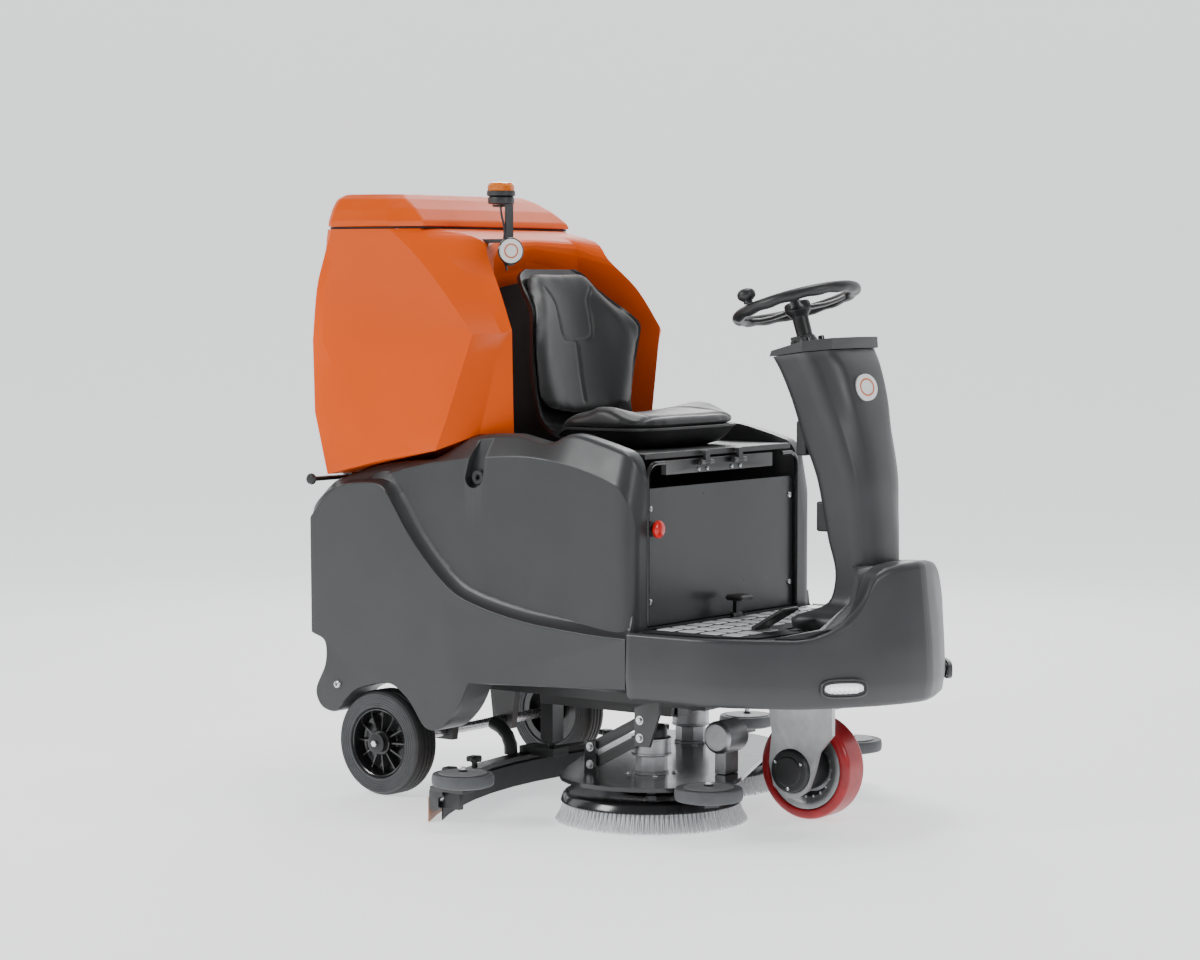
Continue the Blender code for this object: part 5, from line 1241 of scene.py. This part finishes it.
def headlights():
    for side, sign in SIDES.items():
        node = "headlight_" + side
        bm = bmesh.new()
        bm.from_mesh(frame["nodes"][node].data)
        bmesh.ops.remove_doubles(bm, verts=bm.verts, dist=1e-5)
        ahead = Vector((0.8, sign * 0.6, 0))
        normal = Vector()
        for face in bm.faces:
            if face.normal.dot(ahead) > 0.9:
                normal += face.normal * face.calc_area()
        bm.free()
        normal = normal.normalized() if normal.length else ahead.normalized()
        points = [v.co for v in frame["nodes"][node].data.vertices]
        across = Z_AXIS.cross(normal).normalized()
        up = normal.cross(across)
        centre = middle(node)
        front = max((p - centre).dot(normal) for p in points)
        wide = max((p - centre).dot(across) for p in points)
        tall = max((p - centre).dot(up) for p in points)
        matrix = Matrix((across, up, normal)).transposed().to_4x4()
        matrix = Matrix.Translation(centre + normal * (front - 0.003)) @ matrix

        def oval(part, mat, loops, steps=64):
            """Piece through oval rings, each a share of the lamp's height and a depth."""
            bm = bmesh.new()
            rings = []
            for share, depth in loops:
                ring = []
                for a in turns(steps):
                    u = abs(math.cos(a)) ** 0.62 * math.copysign(1, math.cos(a))
                    v = abs(math.sin(a)) ** 0.62 * math.copysign(1, math.sin(a))
                    reach = wide - tall * (1 - share)
                    ring.append(bm.verts.new(matrix @ Vector((u * reach, v * tall * share, depth))))
                rings.append(ring)
            loft(bm, rings)
            return add(bm, node + part, mat, "chassis")

        bezel = oval("_bezel", GLOSS_BLACK, [(1.11, -0.009), (1.11, 0.0006), (1.04, 0.0026), (0.88, 0.0026),
                                             (0.84, -0.001)])
        oval("_hood", DECK_GREY, [(1.42, -0.006), (1.42, 0.0016), (1.34, 0.0034), (1.2, 0.0036),
                                  (1.12, 0.0022), (1.1, -0.006)])
        oval("_reflector", CHROME, [(0.82, -0.0008), (0.82, 0.0012), (0.76, 0.0018), (0.7, 0.0004),
                                    (0.68, -0.0002)])
        bm = bmesh.new()
        for k in range(6):
            u = (k - 2.5) * wide * 0.24
            turned(bm, [(0, 0), (tall * 0.36, 0), (tall * 0.34, 0.0012), (tall * 0.2, 0.0022), (0, 0.0026)],
                   matrix @ Vector((u, 0, 0.0002)), normal, 24)
        add(bm, node + "_leds", LED, "chassis")
        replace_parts(bezel, node)


# ---- column and controls ------------------------------------------------------------------
WHEEL_R = 0.135
WHEEL_TUBE_R = 0.0138
# a spoke's sections: distance from the hub, half width, drop below the rim's plane, half thickness
SPOKE = ((0.014, 0.017, 0.011, 0.005), (0.034, 0.015, 0.0125, 0.0052), (0.07, 0.0118, 0.012, 0.0048),
         (0.1, 0.0105, 0.008, 0.0046), (0.118, 0.011, 0.0035, 0.005), (0.128, 0.0125, 0.0008, 0.006))


def steering():
    wheel_joint = joint("steering_wheel_turn")
    axis = Vector(wheel_joint["axis"]).normalized()
    centre = Vector(wheel_joint["pos_m"])
    forward = Y_AXIS.cross(axis).normalized()
    body = BODY_OF["steering_wheel"]
    section = [(WHEEL_R + WHEEL_TUBE_R * math.cos(a), WHEEL_TUBE_R * math.sin(a) * 0.98) for a in turns(16)]
    bm = bmesh.new()
    ring_of(bm, section, centre, axis, 120)
    grips = math.radians(12)
    for v in bm.verts:                             # shallow finger grips under the rim
        local = v.co - centre
        if local.dot(axis) < -0.004:
            a = math.atan2(local.dot(Y_AXIS), local.dot(forward))
            v.co += axis * 0.0011 * (1 + math.cos(a / grips * math.pi))
    for degrees in (180, 60, -60):
        a = math.radians(degrees)
        out = math.cos(a) * forward + math.sin(a) * Y_AXIS
        side = axis.cross(out)
        rings = []
        for reach, width, drop, thick in SPOKE:
            base = centre + out * reach - axis * drop
            rings.append([bm.verts.new(base + side * width * math.cos(t) + axis * thick * math.sin(t))
                          for t in turns(14)])
        loft(bm, rings)
    turned(bm, [(0, -0.0745), (0.018, -0.0745), (0.0185, -0.035), (0.0205, -0.029), (0.028, -0.02),
                (0.03, -0.015), (0.03, -0.003), (0.028, 0.002), (0.0235, 0.004), (0.0225, 0.003),
                (0, 0.003)], centre, axis, 64)
    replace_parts(add(bm, "steering_wheel_moulded", BLACK, body, 40), "steering_wheel")
    lathe("steering_wheel_cap", GLOSS_BLACK, body,
          [(0, 0.0032), (0.0215, 0.0032), (0.022, 0.0045), (0.019, 0.0066), (0.01, 0.0078), (0, 0.008)],
          centre, axis)

    knob = joint("spinner_knob_spin")
    grip = lathe("spinner_knob_turned", BLACK, "spinner_knob",
                 [(0, 0.0146), (0.0095, 0.0146), (0.0105, 0.017), (0.01, 0.02), (0.015, 0.0235),
                  (0.0195, 0.028), (0.0208, 0.033), (0.0205, 0.038), (0.018, 0.043), (0.013, 0.047),
                  (0.006, 0.0488), (0, 0.049)], Vector(knob["pos_m"]), Vector(knob["axis"]), 56)
    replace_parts(grip, "spinner_knob")
    skin("steering_shaft", STEEL, 0.0008, 40)
    skin("steering_fork", CAST, 0.0025, 30, 3)


# height, rear corner, side crease and front corner as x and half width
COLUMN_LEVELS = ((0.4415, 0.99, 0.112, 1.125, 0.122, 1.178, 0.085),
     (0.468, 0.992, 0.112, 1.125, 0.118, 1.178, 0.08),
                 (0.49, 1.05, 0.088, 1.13, 0.098, 1.174, 0.07),
                      (0.51, 1.072, 0.081, 1.138, 0.088, 1.172, 0.064),
                 (0.57, 1.081, 0.078, 1.146, 0.084, 1.17, 0.056),
                      (0.64, 1.066, 0.082, 1.148, 0.088, 1.168, 0.052),
                 (0.7, 1.058, 0.088, 1.146, 0.092, 1.162, 0.052),
                      (0.78, 1.044, 0.096, 1.138, 0.101, 1.156, 0.058),
                 (0.87, 1.012, 0.104, 1.112, 0.113, 1.14, 0.066),
                      (0.94, 0.99, 0.11, 1.082, 0.124, 1.124, 0.08),
                 (1.01, 0.96, 0.116, 1.054, 0.134, 1.1, 0.086),
                      (1.0425, 0.942, 0.12, 1.036, 0.14, 1.078, 0.096))
COLUMN_BULGE = ((0.4, 0.0), (0.57, 0.0), (0.7, 0.022), (0.94, 0.026), (1.05, 0.012))
COLUMN_TOP_SLOPE = 0.121
COLUMN_BADGE_AT = (1.169, -0.1, 0.978)
COLUMN_BADGE_LIFT = 0.0045


def column_cover():
    """Smooth hollow cover of the steering column."""
    top = COLUMN_LEVELS[-1][0]
    loops = []
    for i in range(61):
        z = COLUMN_LEVELS[0][0] + (top - COLUMN_LEVELS[0][0]) * i / 60
        rear_x, rear_w, side_x, side_w, front_x, front_w = (
            value_at([(row[0], row[c]) for row in COLUMN_LEVELS], z) for c in range(1, 7))
        bulge = value_at(COLUMN_BULGE, z, True)
        half = [(rear_x - bulge, rear_w * 0.55), (rear_x, rear_w), (side_x, side_w), (front_x, front_w),
                (front_x + 0.006, front_w * 0.4)]
        smooth = [half[0]]
        for a, b, c in zip(half, half[1:], half[2:]):        # each corner becomes a short arc
            share = 0.16 if b == half[1] else 0.34
            p = [b[k] + (a[k] - b[k]) * share for k in (0, 1)]
            q = [b[k] + (c[k] - b[k]) * share for k in (0, 1)]
            smooth += [tuple((1 - t) ** 2 * p[k] + 2 * t * (1 - t) * b[k] + t * t * q[k] for k in (0, 1))
                       for t in (0, 0.2, 0.4, 0.6, 0.8, 1)]
        smooth.append(half[-1])
        loop = [(x, -y) for x, y in smooth] + [(x, y) for x, y in reversed(smooth)]
        tilt = COLUMN_TOP_SLOPE * max(0.0, (z - 0.9) / (top - 0.9))
        loops.append([place(x, y, z + tilt * (x - 0.942)) for x, y in loop])
    bm = bmesh.new()
    outer = [[bm.verts.new(p) for p in loop] for loop in loops]
    inner = []
    for loop in reversed(loops):
        mid = sum(loop, Vector()) / len(loop)
        inner.append([bm.verts.new(Vector((mid.x + (p.x - mid.x) * 0.93, p.y * 0.93, p.z))) for p in loop])
    loft(bm, outer + inner, ends=False, closed=True)
    bmesh.ops.recalc_face_normals(bm, faces=bm.faces)
    cover = add(bm, "column_cover_shell", COLUMN_GREY, "chassis", 40)
    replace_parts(cover, "column_cover")


def column():
    column_cover()
    skin("column_inner_panel", BLACK, 0.002, 20)
    bm = bmesh.new()                               # clips on the side towards the driver
    for x0, x1, z0, z1 in ((0.968, 0.995, 0.822, 0.9), (1.022, 1.052, 0.655, 0.722)):
        for y0 in (-0.062, 0.026):
            block(bm, place(x0, y0, z0), place(x1, y0 + 0.036, z1))
    bm = rounded(bm, 0.005, 30, 3)
    add(bm, "column_clips", BLACK, "chassis")
    skin("dashboard", COLUMN_GREY, 0.006, 30, 3)
    skin("key_switch", BLACK, 0.0008, 30)
    normal = Vector((-0.2228, 0.0, 0.9749)).normalized()
    bm = bmesh.new()
    for x, y in ((1.046, -0.078), (1.03, -0.108)):
        spot = place(x, y, 1.0738 + (x - 1.03) * 0.2)
        turned(bm, [(0, -0.002), (0.0085, -0.002), (0.0085, 0.003), (0.0072, 0.0036), (0.0072, 0.012),
                    (0.006, 0.0138), (0, 0.0142)], spot, normal, 20)
    add(bm, "dash_knobs", GLOSS_BLACK, "chassis")

    graph = bpy.context.evaluated_depsgraph_get()
    tree = BVHTree.FromObject(bpy.data.objects["column_cover_shell"], graph)
    eye = place(*CAMERA_AT)
    spot, out, _, _ = tree.ray_cast(eye, (place(*COLUMN_BADGE_AT) - eye).normalized())
    if spot is not None:
        out = (out * 2 + (eye - spot).normalized()).normalized()
        spot = spot + out * COLUMN_BADGE_LIFT
        lathe("column_badge", WHITE, "chassis",
              [(0, -0.01), (0.029, -0.01), (0.03, 0.005), (0.0288, 0.006), (0, 0.0062)], spot, out, 56)
        lathe("column_badge_ring", BADGE_MARK, "chassis",
              [(0.0165, 0.006), (0.02, 0.006), (0.02, 0.0066), (0.0165, 0.0066)], spot, out, 48,
              make=ring_of)


# ---- under the machine --------------------------------------------------------------------
LINK_BOLT_Y = -0.3127


def scrub_deck():
    skin("brush_deck", GLOSS_BLACK, 0.0018, 40)
    for side in SIDES:
        brush(side)
        gearmotor(side)
        top = roller("deck_roller_" + side)
        hex_bolts("deck_roller_bolt_" + side, [(top + Z_AXIS * 0.0042, Z_AXIS)], 0.0062, "brush_deck")
    skin("solution_pump", CAST, 0.002, 40)
    skin("deck_link_upper", FRAME_PAINT, 0.001, 40)
    skin("deck_link_lower", FRAME_PAINT, 0.001, 40)
    lift, level, lower = [Vector(joint(name)["pos_m"])
                          for name in ("deck_lift", "deck_level", "deck_link_lower_swing")]
    drop = level.z - lift.z
    for name, body, x, heights in (("link_bolts_front", "chassis", lift.x, (lift.z, lower.z)),
                                   ("link_bolts_rear", "brush_deck", level.x, (level.z, lower.z + drop))):
        hex_bolts(name, [(Vector((x, LINK_BOLT_Y, z)), -Y_AXIS) for z in heights], 0.0068, body)


def squeegee():
    skin("squeegee_arm", FRAME_PAINT, 0.0015, 40)
    skin("squeegee_bar", FRAME_PAINT, 0.0012, 30)
    skin("squeegee_blade_rear", AMBER, 0.0004, 40, 1, 50)
    skin("squeegee_blade_front", TREAD, 0.0004, 40, 1, 50)
    skin("suction_hose", BLACK, 0.001, 40, 2, 50)
    bm = bmesh.new()
    for y in (-0.42, -0.26, 0.26, 0.42):           # lobed clamping knobs along the bar
        spot = place(0.168 + 0.53 * y * y + 0.002, y, 0.0752)
        turned(bm, [(0, 0), (0.007, 0), (0.007, 0.012), (0, 0.012)], spot, Z_AXIS, 20)
        rings = []
        for share, h in ((0.9, 0.0121), (1.0, 0.0145), (1.0, 0.0215), (0.86, 0.025), (0.4, 0.0262)):
            rings.append([bm.verts.new(spot + Vector((math.cos(a), math.sin(a), 0))
                                       * (0.0165 + 0.0032 * math.cos(5 * a)) * share + Z_AXIS * h)
                          for a in turns(60)])
        loft(bm, rings)
    add(bm, "squeegee_knobs", BLACK, "squeegee")
    bolts = []
    for side, sign in SIDES.items():
        spot = roller("squeegee_roller_" + side)
        bolts.append((spot + Z_AXIS * 0.0046, Z_AXIS))
        bolts.append((place(0.352, sign * 0.5602, 0.058), Y_AXIS * sign))
    hex_bolts("squeegee_bolts", bolts, 0.0062, "squeegee")


# ---- floor, light and camera --------------------------------------------------------------
CAMERA_AT = (4.6169, -5.7108, 1.2086)             # from the rear axle, the middle and the floor
CAMERA_TURN = 36.58
CAMERA_DIP = 3.762
CAMERA_LENS = 90.44
SWEEP_HALF = 40.0                                 # half the backdrop's width
SWEEP_START = 6.0                                 # where the floor starts to rise, behind the machine
SWEEP_R = 5.0
SWEEP_TOP = 24.0
FLOOR_Z = -0.0005
FLOOR_GLOW = 0.9
WORLD_LIGHT = 0.26
LAMPS = (("key", (-2.3, -4.4, 3.1), 1.6, 150), ("front", (4.8, -0.8, 2.6), 1.2, 60),
         ("rim", (-2.4, 3.6, 3.0), 2.0, 80), ("top", (0.2, 0.6, 4.2), 1.4, 70))


def studio():
    """Pale floor that curves up into a backdrop behind the machine, with four lamps and the main camera."""
    away = Vector((-math.sin(math.radians(CAMERA_TURN)), math.cos(math.radians(CAMERA_TURN)), 0))
    along = Vector((away.y, -away.x, 0))
    line = [(-SWEEP_HALF, FLOOR_Z), (SWEEP_START, FLOOR_Z)]
    line += [(SWEEP_START + SWEEP_R * math.sin(a), FLOOR_Z + SWEEP_R - SWEEP_R * math.cos(a))
             for a in [math.pi / 2 * (i + 1) / 24 for i in range(24)]]
    line.append((SWEEP_START + SWEEP_R, SWEEP_TOP))
    bm = bmesh.new()
    sides = [[bm.verts.new(away * u + along * w + Z_AXIS * v) for u, v in line]
             for w in (-SWEEP_HALF, SWEEP_HALF)]
    for k in range(len(line) - 1):
        bm.faces.new([sides[0][k], sides[1][k], sides[1][k + 1], sides[0][k + 1]])
    bmesh.ops.recalc_face_normals(bm, faces=bm.faces)
    mesh = bpy.data.meshes.new("studio_sweep")
    bm.to_mesh(mesh)
    bm.free()
    mesh.shade_smooth()
    floor = bpy.data.objects.new("studio_sweep", mesh)
    bpy.context.scene.collection.objects.link(floor)
    pale = surface("floor_pale", (0.84, 0.84, 0.84), 0.7, grain=0.04, mottle=0.01, mottle_size=1.2,
         spread=0.03)
    shader = pale.node_tree.nodes["Principled BSDF"]
    shader.inputs["Emission Color"].default_value = (0.96, 0.98, 1.0, 1)
    shader.inputs["Emission Strength"].default_value = FLOOR_GLOW
    shader.inputs["Specular IOR Level"].default_value = 0.1
    floor.data.materials.append(pale)
    world = bpy.data.worlds.new("studio_world")
    world.use_nodes = True
    world.node_tree.nodes["Background"].inputs["Color"].default_value = (0.95, 0.97, 1.0, 1)
    world.node_tree.nodes["Background"].inputs["Strength"].default_value = WORLD_LIGHT
    bpy.context.scene.world = world
    for name, place_at, size, power in LAMPS:
        lamp = bpy.data.lights.new(name, "AREA")
        lamp.size = size
        lamp.energy = power
        obj = bpy.data.objects.new(name, lamp)
        obj.location = place_at
        aim = Vector((0, 0, 0.6)) - Vector(place_at)
        obj.rotation_euler = aim.to_track_quat("-Z", "Y").to_euler()
        bpy.context.scene.collection.objects.link(obj)
    data = bpy.data.cameras.new("photo_camera")
    data.lens = CAMERA_LENS
    data.sensor_width = 36.0
    camera = bpy.data.objects.new("photo_camera", data)
    camera.location = place(*CAMERA_AT)
    camera.rotation_euler = (math.radians(90 - CAMERA_DIP), 0, math.radians(CAMERA_TURN))
    bpy.context.scene.collection.objects.link(camera)
    bpy.context.scene.camera = camera


for side, sign in SIDES.items():
    rear_wheel(side, sign)
drive_wheel()
seat()
body_shell()
recovery_tank()
foot_deck()
headlights()
steering()
column()
scrub_deck()
squeegee()
studio()
